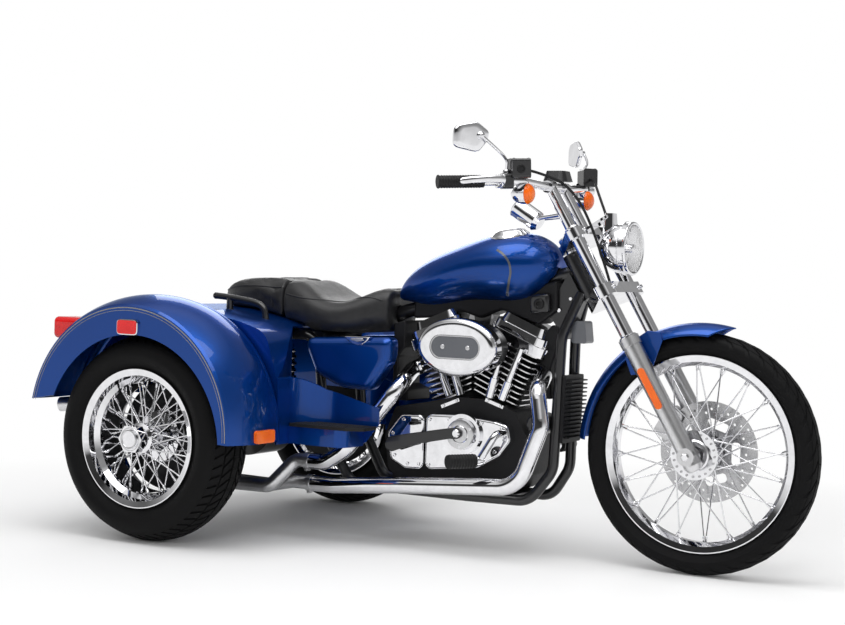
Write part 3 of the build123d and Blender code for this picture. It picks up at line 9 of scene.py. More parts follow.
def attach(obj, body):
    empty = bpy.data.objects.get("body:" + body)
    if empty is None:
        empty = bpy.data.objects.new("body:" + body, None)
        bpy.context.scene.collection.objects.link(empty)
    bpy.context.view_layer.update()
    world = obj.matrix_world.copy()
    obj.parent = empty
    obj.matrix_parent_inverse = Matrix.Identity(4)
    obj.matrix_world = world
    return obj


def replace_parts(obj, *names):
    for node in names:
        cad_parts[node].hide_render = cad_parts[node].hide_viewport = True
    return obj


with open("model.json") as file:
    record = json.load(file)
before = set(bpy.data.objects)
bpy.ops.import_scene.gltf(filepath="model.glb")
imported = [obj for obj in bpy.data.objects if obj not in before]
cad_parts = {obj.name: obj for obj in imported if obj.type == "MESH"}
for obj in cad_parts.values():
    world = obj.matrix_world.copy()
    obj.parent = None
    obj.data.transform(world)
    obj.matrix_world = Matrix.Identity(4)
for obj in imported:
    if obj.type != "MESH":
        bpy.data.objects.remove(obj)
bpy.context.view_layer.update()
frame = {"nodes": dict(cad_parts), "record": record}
NODES = frame["nodes"]
scene = bpy.context.scene
scene.view_settings.view_transform = "Standard"

# The scene is in metres; the sizes below are millimetres from the rear axle, as in the part's source.
CENTRE_X = 729.4022
MM = 0.001
FRONT_AXLE = (1534, 0, 345)
REAR_AXLE_Z = 313
HALF_TRACK = 545
RAKE_DEG = 31
LEG_Y = 100
CRANK_X, CRANK_Z = 832, 330
BOSS_X, BOSS_Z = 841, 357
BANKS_DEG = (-22.5, 22.5)
ARCH_X, ARCH_Z = -20, 335
WING_SIDE = 660
SIDES = ((-1, "right"), (1, "left"))
RIGHT, LEFT, FORWARD, UP = (0, -1, 0), (0, 1, 0), (1, 0, 0), (0, 0, 1)


def at(x, y, z):
    return Vector(((x - CENTRE_X) * MM, y * MM, z * MM))


def by_axle(r, angle, y):
    return at(FRONT_AXLE[0] + r * math.cos(angle), y, FRONT_AXLE[2] + r * math.sin(angle))


# Materials.


def principled(name):
    m = bpy.data.materials.new(name)
    m.use_nodes = True
    nt = m.node_tree
    return m, nt, nt.nodes["Principled BSDF"]


def shader(nt, kind, operation=None):
    n = nt.nodes.new("ShaderNode" + kind)
    if operation:
        n.operation = operation
    return n


def fill(n, **values):
    for socket, value in values.items():
        n.inputs[socket.replace("_", " ")].default_value = value


def link(nt, a, ao, b, bi):
    nt.links.new(a.outputs[ao], b.inputs[bi])


# The object's own coordinates as a texture's place.
def placed(nt, n):
    link(nt, shader(nt, "TexCoord"), "Object", n, "Vector")


def noise(nt, scale, detail=4.0, rough=0.5, stretch=None):
    n = shader(nt, "TexNoise")
    fill(n, Scale=scale, Detail=detail, Roughness=rough)
    if stretch:
        mp = shader(nt, "Mapping")
        fill(mp, Scale=stretch)
        placed(nt, mp)
        link(nt, mp, "Vector", n, "Vector")
    else:
        placed(nt, n)
    return n


def ramp(nt, src, out, stops):
    r = shader(nt, "ValToRGB")
    link(nt, src, out, r, "Fac")
    while len(r.color_ramp.elements) > len(stops):
        r.color_ramp.elements.remove(r.color_ramp.elements[-1])
    while len(r.color_ramp.elements) < len(stops):
        r.color_ramp.elements.new(0.5)
    for e, (p, c) in zip(r.color_ramp.elements, stops):
        e.position = p
        e.color = (c, c, c, 1) if isinstance(c, (int, float)) else (*c, 1)
    return r


# The larger of two values.
def larger(nt, a, ao, b, bo):
    n = shader(nt, "Math", "MAXIMUM")
    link(nt, a, ao, n, 0)
    link(nt, b, bo, n, 1)
    return n


# Shader a where the factor is 0, b where it is 1.
def blend(nt, factor, out, a, b):
    n = shader(nt, "MixShader")
    link(nt, factor, out, n, "Fac")
    link(nt, a, 0, n, 1)
    link(nt, b, 0, n, 2)
    return n


def bump(nt, bsdf, src, out, strength, distance):
    b = shader(nt, "Bump")
    fill(b, Strength=strength, Distance=distance)
    link(nt, src, out, b, "Height")
    link(nt, b, "Normal", bsdf, "Normal")
    return b


# Bare metal: noise varies its colour and roughness between low and high.
def metal(name, colour, low, high, scale=30.0, grain=None):
    m, nt, p = principled(name)
    fill(p, Metallic=1.0)
    n = noise(nt, scale, 5.0, 0.6, grain)
    c2 = tuple(v * 0.86 for v in colour)
    link(nt, ramp(nt, n, "Fac", [(0.3, c2), (0.7, colour)]), "Color", p, "Base Color")
    link(nt, ramp(nt, n, "Fac", [(0.25, low), (0.8, high)]), "Color", p, "Roughness")
    return m


# Paint or enamel under a clear coat, with metal flakes where flake is above zero.
def coated(name, colour, dark, rough, coat, flake=0.0, metallic=0.0):
    m, nt, p = principled(name)
    fill(p, Metallic=metallic, Coat_Weight=coat, Coat_Roughness=0.03)
    n = noise(nt, 3.0, 3.0)
    base = ramp(nt, n, "Fac", [(0.3, dark), (0.75, colour)])
    if flake:
        v = shader(nt, "TexVoronoi")
        fill(v, Scale=1400.0)
        placed(nt, v)
        mix = shader(nt, "Mix")
        mix.data_type = "RGBA"
        mix.blend_type = "ADD"
        fill(mix, Factor=flake)
        link(nt, base, "Color", mix, "A")
        link(nt, ramp(nt, v, "Color", [(0.6, (0.0, 0.0, 0.0)), (1.0, (0.05, 0.15, 0.5))]), "Color", mix,
             "B")
        link(nt, mix, "Result", p, "Base Color")
    else:
        link(nt, base, "Color", p, "Base Color")
    fine = noise(nt, 60.0, 2.0)
    link(nt, ramp(nt, fine, "Fac", [(0.3, rough * 0.96), (0.7, rough * 1.04)]), "Color", p, "Roughness")
    return m


# Rubber, casting or leather: grain in colour, roughness and bump, with cells for leather.
def grained(name, light, dark, low, high, scale, depth, strength=0.6, cells=0.0, gloss=0.25):
    m, nt, p = principled(name)
    fill(p, Specular_IOR_Level=gloss)
    n = noise(nt, scale, 6.0, 0.62)
    link(nt, ramp(nt, n, "Fac", [(0.3, dark), (0.75, light)]), "Color", p, "Base Color")
    link(nt, ramp(nt, n, "Fac", [(0.3, low), (0.75, high)]), "Color", p, "Roughness")
    if cells:
        v = shader(nt, "TexVoronoi")
        v.feature = "DISTANCE_TO_EDGE"
        fill(v, Scale=cells)
        placed(nt, v)
        b = bump(nt, p, ramp(nt, v, "Distance", [(0.0, 0.0), (0.12, 1.0)]), "Color", strength, depth)
        b2 = shader(nt, "Bump")
        fill(b2, Strength=0.25, Distance=depth)
        link(nt, n, "Fac", b2, "Height")
        link(nt, b2, "Normal", b, "Normal")
    else:
        bump(nt, p, n, "Fac", strength, depth)
    return m


# Coloured lens with moulded ribs.
def lens(name, colour, deep, transmission):
    m, nt, p = principled(name)
    n = noise(nt, 18.0, 2.0)
    link(nt, ramp(nt, n, "Fac", [(0.3, deep), (0.7, colour)]), "Color", p, "Base Color")
    fill(p, Transmission_Weight=transmission, Coat_Weight=0.3, Specular_IOR_Level=0.3, Roughness=0.16)
    w = shader(nt, "TexWave")
    fill(w, Scale=60.0)
    placed(nt, w)
    bump(nt, p, w, "Fac", 0.35, 0.0008)
    return m


M = {"paint": coated("paint_blue", (0.0012, 0.045, 0.25), (0.0011, 0.041, 0.23), 0.31, 0.5, 0.02, 0.74),
     "chrome": metal("chrome", (0.86, 0.86, 0.88), 0.03, 0.06),
     "satin": metal("satin_alloy", (0.72, 0.72, 0.73), 0.3, 0.34, 500.0, (1, 1, 0.1)),
     "steel": metal("disc_steel", (0.55, 0.55, 0.56), 0.2, 0.34, 40.0, (1, 8, 1)),
     "bright_edge": metal("bright_fin_edge", (0.72, 0.72, 0.73), 0.2, 0.32, 90.0),
     "mirror": metal("mirror_glass", (0.9, 0.9, 0.92), 0.01, 0.02),
     "black": coated("black_enamel", (0.009, 0.009, 0.010), (0.005, 0.005, 0.006), 0.3, 0.35),
     "cast": grained("black_casting", (0.010, 0.010, 0.011), (0.005, 0.005, 0.006), 0.42, 0.6, 260.0,
                     0.0006),
     "tyre": grained("tyre_rubber", (0.006, 0.006, 0.0066), (0.0035, 0.0035, 0.0036), 0.55, 0.75, 180.0,
                     0.0004, gloss=0.12),
     "rubber": grained("moulded_rubber", (0.012, 0.012, 0.013), (0.007, 0.007, 0.007), 0.45, 0.62, 220.0,
                       0.0004),
     "leather": grained("black_leather", (0.017, 0.017, 0.018), (0.009, 0.009, 0.010), 0.34, 0.48, 40.0,
                        0.0004, 0.4, 420.0, 0.45),
     "red": lens("red_lens", (0.80, 0.012, 0.012), (0.62, 0.006, 0.008), 0.1),
     "amber": lens("amber_lens", (0.95, 0.19, 0.004), (0.85, 0.12, 0.002), 0.2),
     "pin": coated("pinstripe", (0.22, 0.21, 0.20), (0.17, 0.165, 0.16), 0.35, 0.6),
     "line": coated("tank_line", (0.065, 0.07, 0.085), (0.05, 0.055, 0.066), 0.35, 0.6),
     "grey": coated("grey_insert", (0.10, 0.105, 0.12), (0.07, 0.075, 0.085), 0.35, 0.5),
     "dial": coated("dial_face", (0.03, 0.03, 0.034), (0.02, 0.02, 0.024), 0.4, 0.2),
     "white": coated("dial_marks", (0.75, 0.75, 0.72), (0.66, 0.66, 0.63), 0.5, 0.0)}
m, nt, p = principled("lamp_glass")
n = noise(nt, 40.0, 2.0)
link(nt, ramp(nt, n, "Fac", [(0.3, 0.9), (0.7, 0.97)]), "Color", p, "Base Color")
fill(p, Transmission_Weight=1.0, Roughness=0.02, IOR=1.3)
w = shader(nt, "TexWave")
fill(w, Scale=26.0)
w.bands_direction = "Y"
placed(nt, w)
bump(nt, p, w, "Fac", 0.3, 0.001)
M["glass"] = m
fill(M["paint"].node_tree.nodes["Principled BSDF"], Specular_Tint=(0.2, 0.5, 1.0, 1))

SLOT_OF = {"paint": "paint", "chrome": "chrome", "satin": "satin", "steel": "steel", "black_metal": "black",
           "rubber": "rubber", "tyre": "tyre", "leather": "leather", "red_lens": "red",
           "amber_lens": "amber", "glass": "glass"}
for row in frame["record"]["subparts"]:
    o = NODES[row["node"]]
    o.data.materials.clear()
    o.data.materials.append(M[SLOT_OF[row["material_slot"]]])
    for poly in o.data.polygons:
        poly.material_index = 0
for n in ("engine_case", "cylinders", "regulator"):
    NODES[n].data.materials[0] = M["cast"]
NODES["neck_cover"].data.materials[0] = M["grey"]
NODES["air_cleaner_insert"].data.materials[0] = M["grey"]


# Mesh helpers. A Heap gathers many small shapes into one piece.


# An axis with two directions square to it.
def across(axis):
    a = Vector(axis).normalized()
    t = Vector(UP if abs(a.z) < 0.9 else FORWARD)
    u = a.cross(t).normalized()
    return a, u, a.cross(u)


class Heap:
    def __init__(self):
        self.v = []
        self.f = []

    def put(self, verts, faces):
        o = len(self.v)
        self.v += [tuple(q) for q in verts]
        self.f += [tuple(i + o for i in f) for f in faces]

    def lathe(self, origin, axis, profile, n=16, turn=0.0):
        a, u, w = across(axis)
        origin = Vector(origin)
        verts = []
        for r, h in profile:
            for i in range(n):
                t = turn + 2 * math.pi * i / n
                verts.append(origin + a * h + (u * math.cos(t) + w * math.sin(t)) * r)
        faces = []
        for k in range(len(profile) - 1):
            for i in range(n):
                j = (i + 1) % n
                faces.append((k * n + i, k * n + j, (k + 1) * n + j, (k + 1) * n + i))
        self.put(verts, faces)

    def bolt(self, origin, axis, r, h, n=6):
        r, h = r * MM, h * MM
        if n == 6:
            self.lathe(origin, axis, [(r, -h * 0.4), (r, h * 0.82), (r * 0.86, h), (0.0, h)], 6)
        else:
            self.lathe(origin, axis,
                       [(r, -h * 0.4), (r, h * 0.8), (r * 0.88, h), (r * 0.5, h), (r * 0.46, h * 0.45),
                        (0.0, h * 0.45)], n)

    def ring(self, origin, axis, r, wire, n=48, k=8):
        pts = [(r + wire * math.cos(2 * math.pi * j / k), wire * math.sin(2 * math.pi * j / k))
               for j in range(k + 1)]
        self.lathe(origin, axis, pts, n)

    def strip(self, rows):
        verts = [q for row in rows for q in row]
        c = len(rows[0])
        faces = [(i * c + j, i * c + j + 1, (i + 1) * c + j + 1, (i + 1) * c + j)
                 for i in range(len(rows) - 1) for j in range(c - 1)]
        self.put(verts, faces)

    def done(self, name, mat, body, slot, angle=35.0):
        me = bpy.data.meshes.new(name)
        me.from_pydata(self.v, [], self.f)
        me.validate()
        me.update()
        me.shade_smooth()
        me.set_sharp_from_angle(angle=math.radians(angle))
        me.materials.append(M[mat])
        o = bpy.data.objects.new(name, me)
        scene.collection.objects.link(o)
        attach(o, body)
        return o


# A round bar along a smooth curve with the points as its control polygon.
def tube(name, points, radius, mat, body):
    cu = bpy.data.curves.new(name, "CURVE")
    cu.dimensions = "3D"
    cu.bevel_depth = radius
    cu.bevel_resolution = 3
    s = cu.splines.new("NURBS")
    s.points.add(len(points) - 1)
    for q, c in zip(s.points, points):
        q.co = (*c, 1)
    s.order_u = 3
    s.use_endpoint_u = True
    cu.use_fill_caps = True
    cu.materials.append(M[mat])
    o = bpy.data.objects.new(name, cu)
    scene.collection.objects.link(o)
    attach(o, body)
    return o


# Plate or box: an outline in x and z, from y0 to y1, with rounded edges.
def prism(name, sides, y0, y1, bevel, mat, slot, body="chassis"):
    n = len(sides)
    verts = [at(x, y, z) for y in (y0, y1) for x, z in sides]
    faces = [tuple(range(n)), tuple(range(2 * n - 1, n - 1, -1))]
    faces += [(i, n + i, n + (i + 1) % n, (i + 1) % n) for i in range(n)]
    heap = Heap()
    heap.put(verts, faces)
    o = heap.done(name, mat, body, slot)
    b = o.modifiers.new("edges", "BEVEL")
    b.width = bevel * MM
    b.segments = 3
    return o


# The mesh of an object with its modifiers.
def evaluated_mesh(o):
    return bpy.data.meshes.new_from_object(o.evaluated_get(bpy.context.evaluated_depsgraph_get()))


# A new piece with a node's solid, remeshed, smoothed and shifted along its normals.
def remeshed(name, node, voxel, passes, shift, mat):
    o = bpy.data.objects.new(name, NODES[node].data.copy())
    scene.collection.objects.link(o)
    rm = o.modifiers.new("remesh", "REMESH")
    rm.mode = "VOXEL"
    rm.voxel_size = voxel
    sm = o.modifiers.new("smooth", "SMOOTH")
    sm.iterations = passes
    dp = o.modifiers.new("shift", "DISPLACE")
    dp.strength = shift
    dp.mid_level = 0.0
    me = evaluated_mesh(o)
    o.modifiers.clear()
    o.data = me
    me.shade_smooth()
    me.materials.clear()
    me.materials.append(M[mat])
    return o


# A skin in a node's place: its solid with the hard edges smoothed away.
def smoothed(node, voxel, passes, grow, mat):
    o = remeshed(node + "_skin", node, voxel, passes, grow, mat)
    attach(o, "chassis")
    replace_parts(o, node)
    return o


def surface_of(obj):
    me = obj.data
    return BVHTree.FromPolygons([obj.matrix_world @ v.co for v in me.vertices],
                                [tuple(q.vertices) for q in me.polygons])


# Points on a smooth curve through the given ones.
def spline(points, steps):
    out = []
    for i in range(len(points) - 1):
        a = points[max(i - 1, 0)]
        b = points[i]
        c = points[i + 1]
        d = points[min(i + 2, len(points) - 1)]
        for k in range(steps):
            t = k / steps
            out.append(tuple(0.5 * (2 * b[j] + (c[j] - a[j]) * t
                                    + (2 * a[j] - 5 * b[j] + 4 * c[j] - d[j]) * t * t
                                    + (3 * b[j] - a[j] - 3 * c[j] + d[j]) * t ** 3)
                             for j in (0, 1)))
    out.append(points[-1])
    return out


# A tyre in its node's place: the section turned, with raised tread blocks round it.
# The flank's points are radius and half width, from the bead to the crown.
def tyre(node, body, centre, side, bead, flank, tread_from, depth, rows, count, bands):
    half = [bead] + spline(flank, 5)
    full = [(r, y) for r, y in half] + [(r, -y) for r, y in reversed(half)]
    run = [0.0]
    for (r0, y0), (r1, y1) in zip(full, full[1:]):
        run.append(run[-1] + math.hypot(r1 - r0, y1 - y0))
    mid = run[-1] / 2

    def on(u):
        s = min(max(mid + u, 0.0), run[-1])
        k = max(i for i in range(len(run)) if run[i] <= s + 1e-9)
        k = min(k, len(run) - 2)
        t = (s - run[k]) / (run[k + 1] - run[k])
        return tuple(full[k][j] + (full[k + 1][j] - full[k][j]) * t for j in (0, 1))

    edge = max(abs(run[i] - mid) for i in range(len(full)) if full[i][0] >= tread_from)
    section = []
    for (r, y), s in zip(full, run):
        if abs(s - mid) < edge:
            r -= depth
        elif any(abs(r - b) < 3.2 for b in bands):
            y += 1.1 if y > 0 else -1.1
        section.append((r, y))
    heap = Heap()
    origin = at(*centre)
    heap.lathe(origin, (0, side, 0),
               [(r * MM, y * MM) for r, y in section] + [(section[0][0] * MM, section[0][1] * MM)], 144)
    for first, last, start, width, slant in rows:
        cuts = 4
        for i in range(count):
            a0 = 2 * math.pi * (i + start) / count
            span = 2 * math.pi * width / count
            verts = []
            for k in range(cuts + 1):
                u = (first + (last - first) * k / cuts) * edge
                r, y = on(u)
                lean = slant * 2 * math.pi / count * k / cuts
                for da in (0.0, span):
                    for drop in (0.0, depth + 0.6):
                        a = a0 + lean + da
                        rr = (r - drop) * MM
                        verts.append(origin + Vector((math.cos(a) * rr, side * y * MM, math.sin(a) * rr)))
            faces = []
            for k in range(cuts):
                b = 4 * k
                faces += [(b, b + 4, b + 6, b + 2), (b, b + 1, b + 5, b + 4), (b + 2, b + 6, b + 7, b + 3)]
            b = 4 * cuts
            faces += [(0, 2, 3, 1), (b, b + 1, b + 3, b + 2)]
            heap.put(verts, faces)
    o = heap.done(node.replace("tyre", "tread_tyre"), "tyre", body, "tyre", 30)
    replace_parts(o, node)


# Tread rows: first and last edge as a share of the tread's half width, start, width, slant (in pitches).
REAR_ROWS = [(-0.99, -0.60, 0.0, 0.70, 0.55), (-0.54, -0.20, 0.3, 0.70, 0.85),
             (-0.13, 0.13, 0.0, 0.96, 0.0), (0.20, 0.54, 1.0, 0.70, -0.85), (0.60, 0.99, 0.45, 0.70, -0.55)]
FRONT_ROWS = [(-0.98, -0.66, 0.1, 0.66, 0.35), (-0.62, -0.30, 0.55, 0.78, 0.75),
              (-0.22, 0.22, 0.0, 0.97, 0.0), (0.30, 0.62, 1.3, 0.78, -0.75), (0.66, 0.98, 0.6, 0.66, -0.35)]
tyre("front_tyre", "front_wheel", FRONT_AXLE, 1, (267, 24),
     [(283, 24), (301.3, 41.9), (322.4, 45), (337.2, 31), (344.2, 12), (345, 0)], 316, 5.0, FRONT_ROWS, 40,
     (292, 306))
for side, tag in SIDES:
    tyre("rear_tyre_" + tag, "rear_wheel_" + tag, (0, side * HALF_TRACK, REAR_AXLE_Z), side, (191, 75),
         [(209.5, 75), (243.5, 99.5), (278.8, 88), (297.1, 60), (308.1, 32), (312.6, 12), (313, 0)], 284,
         6.0, REAR_ROWS, 58, (228, 252, 266))

# Spoke nipples, from the lacing tables: hub radius, hub plane, rim plane, sweep, count, first angle.
FRONT_LACING = [(66, -55, -4, 42, 10, 0), (66, -51, -2, -42, 10, 9), (42, 41, 4, 40, 10, 18),
                (42, 45, 2, -40, 10, 27)]
REAR_LACING = [(40, 62, 26, 32, 15, 0), (40, 57, 18, -32, 15, 6), (70, -34, -8, 26, 15, 12),
               (70, -29, -18, -26, 15, 18)]


def nipples(name, body, centre, side, lacing, rim_r):
    heap = Heap()
    for hub_r, hub_y, rim_y, turn, count, first in lacing:
        for i in range(count):
            a = math.radians(first + 360 * i / count)
            b = a + math.radians(turn)
            p0 = at(centre[0] + hub_r * math.cos(a), centre[1] + side * hub_y,
                    centre[2] + hub_r * math.sin(a))
            p1 = at(centre[0] + rim_r * math.cos(b), centre[1] + side * rim_y,
                    centre[2] + rim_r * math.sin(b))
            d = (p0 - p1).normalized()
            heap.lathe(p1, d,
                       [(0.0042, -0.002), (0.0042, 0.008), (0.0034, 0.010), (0.0034, 0.017),
                        (0.0023, 0.0185)], 8)
    heap.done(name, "chrome", body, "chrome")


nipples("front_nipples", "front_wheel", FRONT_AXLE, 1, FRONT_LACING, 254)
for side, tag in SIDES:
    nipples("rear_nipples_" + tag, "rear_wheel_" + tag, (0, side * HALF_TRACK, REAR_AXLE_Z), side,
            REAR_LACING, 171)

# Dark brake drum behind the spokes of each rear wheel, with its ring of bolts.
# Its section is radius and place on the axle.
DRUM = [(36, -40), (60, -44), (78, -50), (96, -62), (160, -65), (167, -66), (168, -70), (160, -73),
        (90, -72), (40, -66), (36, -40)]
for side, tag in SIDES:
    centre = at(0, side * HALF_TRACK, REAR_AXLE_Z)
    heap = Heap()
    heap.lathe(centre, (0, side, 0), [(r * MM, h * MM) for r, h in DRUM], 96)
    heap.done("brake_drum_" + tag, "cast", "rear_wheel_" + tag, "black_metal")
    heap = Heap()
    heap.lathe(centre, (0, side, 0), [(0.04, -0.044), (0.075, -0.0465), (0.079, -0.049), (0.079, -0.052)],
               64)
    for k in range(12):
        t = 2 * math.pi * k / 12
        heap.bolt(centre + Vector((math.cos(t) * 0.066, -side * 0.0455, math.sin(t) * 0.066)), (0, side, 0),
                  5.5, 6, 6)
    heap.done("drum_flange_" + tag, "steel", "rear_wheel_" + tag, "steel")

# Spoke heads round the front hub's flange.
heap = Heap()
for k in range(20):
    t = 2 * math.pi * k / 20
    heap.bolt(by_axle(61, t, -58), RIGHT, 3.6, 2.4, 12)
heap.done("hub_heads", "steel", "front_wheel", "steel")

# Seat pads: a copy of each solid is remeshed, drawn in and blown up again, so it swells between its seams.
CLOTH_FRAMES = 20


def cushion(node, inset, voxel, pressure, cap):
    o = remeshed(node + "_pad", node, voxel, 6, -inset, "leather")
    me = o.data
    cl = o.modifiers.new("cloth", "CLOTH")
    cl.settings.use_pressure = True
    cl.settings.uniform_pressure_force = pressure
    cl.settings.effector_weights.gravity = 0.0
    cl.settings.quality = 4
    cl.collision_settings.use_collision = False
    cl.point_cache.frame_start = 1
    cl.point_cache.frame_end = CLOTH_FRAMES
    for f in range(1, CLOTH_FRAMES + 1):
        scene.frame_set(f)
    puffed = evaluated_mesh(o)
    o.modifiers.clear()
    for v, q in zip(me.vertices, puffed.vertices):
        move = q.co - v.co
        if move.length > cap:
            move *= cap / move.length
        v.co += move
    scene.frame_set(1)
    me.update()
    sub = o.modifiers.new("round", "SUBSURF")
    sub.levels = 1
    sub.render_levels = 1
    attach(o, "chassis")
    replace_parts(o, node)
    return o


rider = cushion("rider_seat", 0.003, 0.007, 4.0, 0.005)
pillion = cushion("pillion_seat", 0.003, 0.007, 4.0, 0.005)
rider_skin = surface_of(rider)
pillion_skin = surface_of(pillion)


# A welt on a pad's skin, through rays towards (x, cz) from each angle.
def welt(name, skin, stations, radius):
    points = []
    for x, degrees, cz in stations:
        a = math.radians(degrees)
        d = Vector((0, math.cos(a), math.sin(a)))
        hit = skin.ray_cast(at(x, 0, cz) + d * 0.6, -d)[0]
        if hit is not None:
            points.append(hit)
    if len(points) > 3:
        tube(name, points, radius, "leather", "chassis")


welt("welt_back", rider_skin, [(184, t, 700) for t in range(-15, 196, 14)], 0.0028)
for base, tag in ((180, "right"), (0, "left")):
    lean = -1 if base else 1
    welt("welt_rider_" + tag, rider_skin,
         [(x, base + lean * (24 + 6 * math.sin(x / 60)), 690) for x in range(188, 532, 22)], 0.0026)
    welt("welt_pillion_" + tag, pillion_skin, [(x, base + lean * 22, 720) for x in range(-78, 170, 20)],
         0.0026)
welt("welt_seam", pillion_skin, [(128, t, 700) for t in range(-5, 186, 14)], 0.0022)

# Pinstripes on the wings: radius about the arch, width. They end at the height of the wing's tail.
TAIL_Z = 404
for side, tag in SIDES:
    heap = Heap()
    for r, wide in ((366.0, 3.0), (358.5, 1.4)):
        rows = []
        for k in range(97):
            a = math.radians(-1.0 + 169.5 * k / 96)
            if r * math.sin(a) + ARCH_Z < TAIL_Z and math.cos(a) < 0:
                continue
            rows.append([at(ARCH_X + q * math.cos(a), side * (WING_SIDE + 0.4), ARCH_Z + q * math.sin(a))
                         for q in (r, r + wide)])
        heap.strip(rows)
    heap.done("pinstripe_" + tag, "pin", "chassis", "paint")

# Tank skin, with the curved line on each side and the wide filler cap.
tank = smoothed("fuel_tank", 0.005, 22, 0.0006, "paint")
tank_skin = surface_of(tank)
STRIPE = [(922, 908), (948, 894), (968, 872), (974, 845), (967, 820), (954, 792), (938, 768)]
for side, tag in SIDES:
    line = spline(STRIPE, 5)
    rows = []
    for (x0, z0), (x1, z1) in zip(line, line[1:]):
        t = Vector((x1 - x0, z1 - z0)).normalized()
        pair = []
        for off in (-3.2, 3.2):
            x, z = x0 - t.y * off, z0 + t.x * off
            hit, normal, _, _ = tank_skin.ray_cast(at(x, side * 300, z), Vector((0, -side, 0)))
            pair.append(hit + normal * 0.0005)
        rows.append(pair)
    heap = Heap()
    heap.strip(rows)
    heap.done("tank_line_" + tag, "line", "chassis", "paint")

# The cap's rings lie between the skin (plane 0) and a flat disc (plane 1), each lifted off it.
CAP = (918, -30)
CAP_RINGS = [(60, 0.0, 0.6), (58.5, 0.0, 4.0), (55, 0.0, 5.2), (50, 0.35, 6.0), (46, 0.8, 7.5),
             (40, 1.0, 11), (30, 1.0, 14), (16, 1.0, 15.4), (0.01, 1.0, 15.8)]
hit, normal, _, _ = tank_skin.ray_cast(at(*CAP, 1200), Vector((0, 0, -1)))
axis, u, w = across(normal)
rings = []
for r, plane, lift in CAP_RINGS:
    row = []
    for k in range(65):
        t = 2 * math.pi * k / 64
        q = hit + (u * math.cos(t) + w * math.sin(t)) * r * MM
        skin = tank_skin.ray_cast(q + axis * 0.05, -axis)[0] or q
        row.append(skin.lerp(q, plane) + axis * lift * MM)
    rings.append(row)
heap = Heap()
heap.strip(rings)
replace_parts(heap.done("filler_cap", "chrome", "chassis", "chrome"), "fuel_cap")

# Dark parts between tank, engine and neck: coil box, battery box, engine mount.
prism("coil_box",
      [(600, 690), (600, 742), (660, 772), (905, 790), (1010, 806), (1085, 822), (1088, 735), (1030, 690),
       (960, 712), (905, 728), (832, 700), (760, 720), (690, 700)], -42, 42, 8, "cast", "black_metal")
COIL_CAP = [(1008, 722), (1008, 778), (1068, 784), (1072, 728)]
for side, tag in SIDES:
    prism("coil_cap_" + tag, COIL_CAP, *sorted((side * 40, side * 66)), 9, "black", "black_metal")
prism("battery_box",
      [(548, 436), (548, 672), (584, 684), (590, 676), (588, 600), (566, 572), (566, 484), (604, 470),
       (604, 436)], -70, 70, 4, "cast", "black_metal")
prism("engine_mount",
      [(1000, 470), (1020, 640), (1066, 690), (1092, 690), (1092, 640), (1066, 560), (1072, 470)], -30, 30,
      6, "cast", "black_metal")
heap = Heap()
for s in (-1, 1):
    heap.lathe(at(1040, s * 66, 752), (0, s, 0),
               [(0.016, -0.002), (0.016, 0.004), (0.012, 0.007), (0.006, 0.007), (0.005, 0.004),
                (0.0, 0.004)], 32)
heap.done("coil_knobs", "rubber", "chassis", "rubber")


# A point on a cylinder bank tilted by a: h along it from the crank, c outwards from its axis.
def on_bank(a, h, c, y):
    out = 1 if a > 0 else -1
    return (CRANK_X + h * math.sin(a) + out * c * math.cos(a), y,
            CRANK_Z + h * math.cos(a) - out * c * math.sin(a))


# Bright machined edges of the cylinder fins: the fins stand from FIN_LOW to FIN_HIGH along the bank.
FIN_LOW, FIN_HIGH, FIN_COUNT = 132, 322, 11
FIN_HALF, FIN_SIDE, FIN_ROUND = 70, 49, 24
heap = Heap()
for tilt in BANKS_DEG:
    a = math.radians(tilt)
    for i in range(FIN_COUNT):
        along = FIN_LOW + 14 + i * (FIN_HIGH - FIN_LOW - 18) / (FIN_COUNT - 1)
        low = max(-FIN_HALF, (5 - along * math.sin(abs(a))) / math.cos(a))
        path = [(low, -FIN_SIDE - FIN_ROUND)]
        for start, corner in ((-90, -FIN_SIDE), (0, FIN_SIDE)):
            for k in range(5):
                t = math.radians(start + 22.5 * k)
                path.append((FIN_HALF + FIN_ROUND * math.cos(t), corner + FIN_ROUND * math.sin(t)))
        path.append((low, FIN_SIDE + FIN_ROUND))
        rows = []
        for k, (c, y) in enumerate(path):
            if k in (0, len(path) - 1):
                n = Vector((0, -1 if k == 0 else 1))
            else:
                n = Vector((c - FIN_HALF, y - math.copysign(FIN_SIDE, y)))
            n = n.normalized() * 0.5
            row = []
            for h, lift in ((along - 0.2, 0.0), (along - 0.2, 1.0), (along + 3.4, 1.0), (along + 3.4, 0.0)):
                cc, yy = c + n.x * lift, y + n.y * lift
                row.append(at(*on_bank(a, h, cc, yy)))
            rows.append(row)
        heap.strip(rows)
heap.done("fin_edges", "bright_edge", "chassis", "satin")

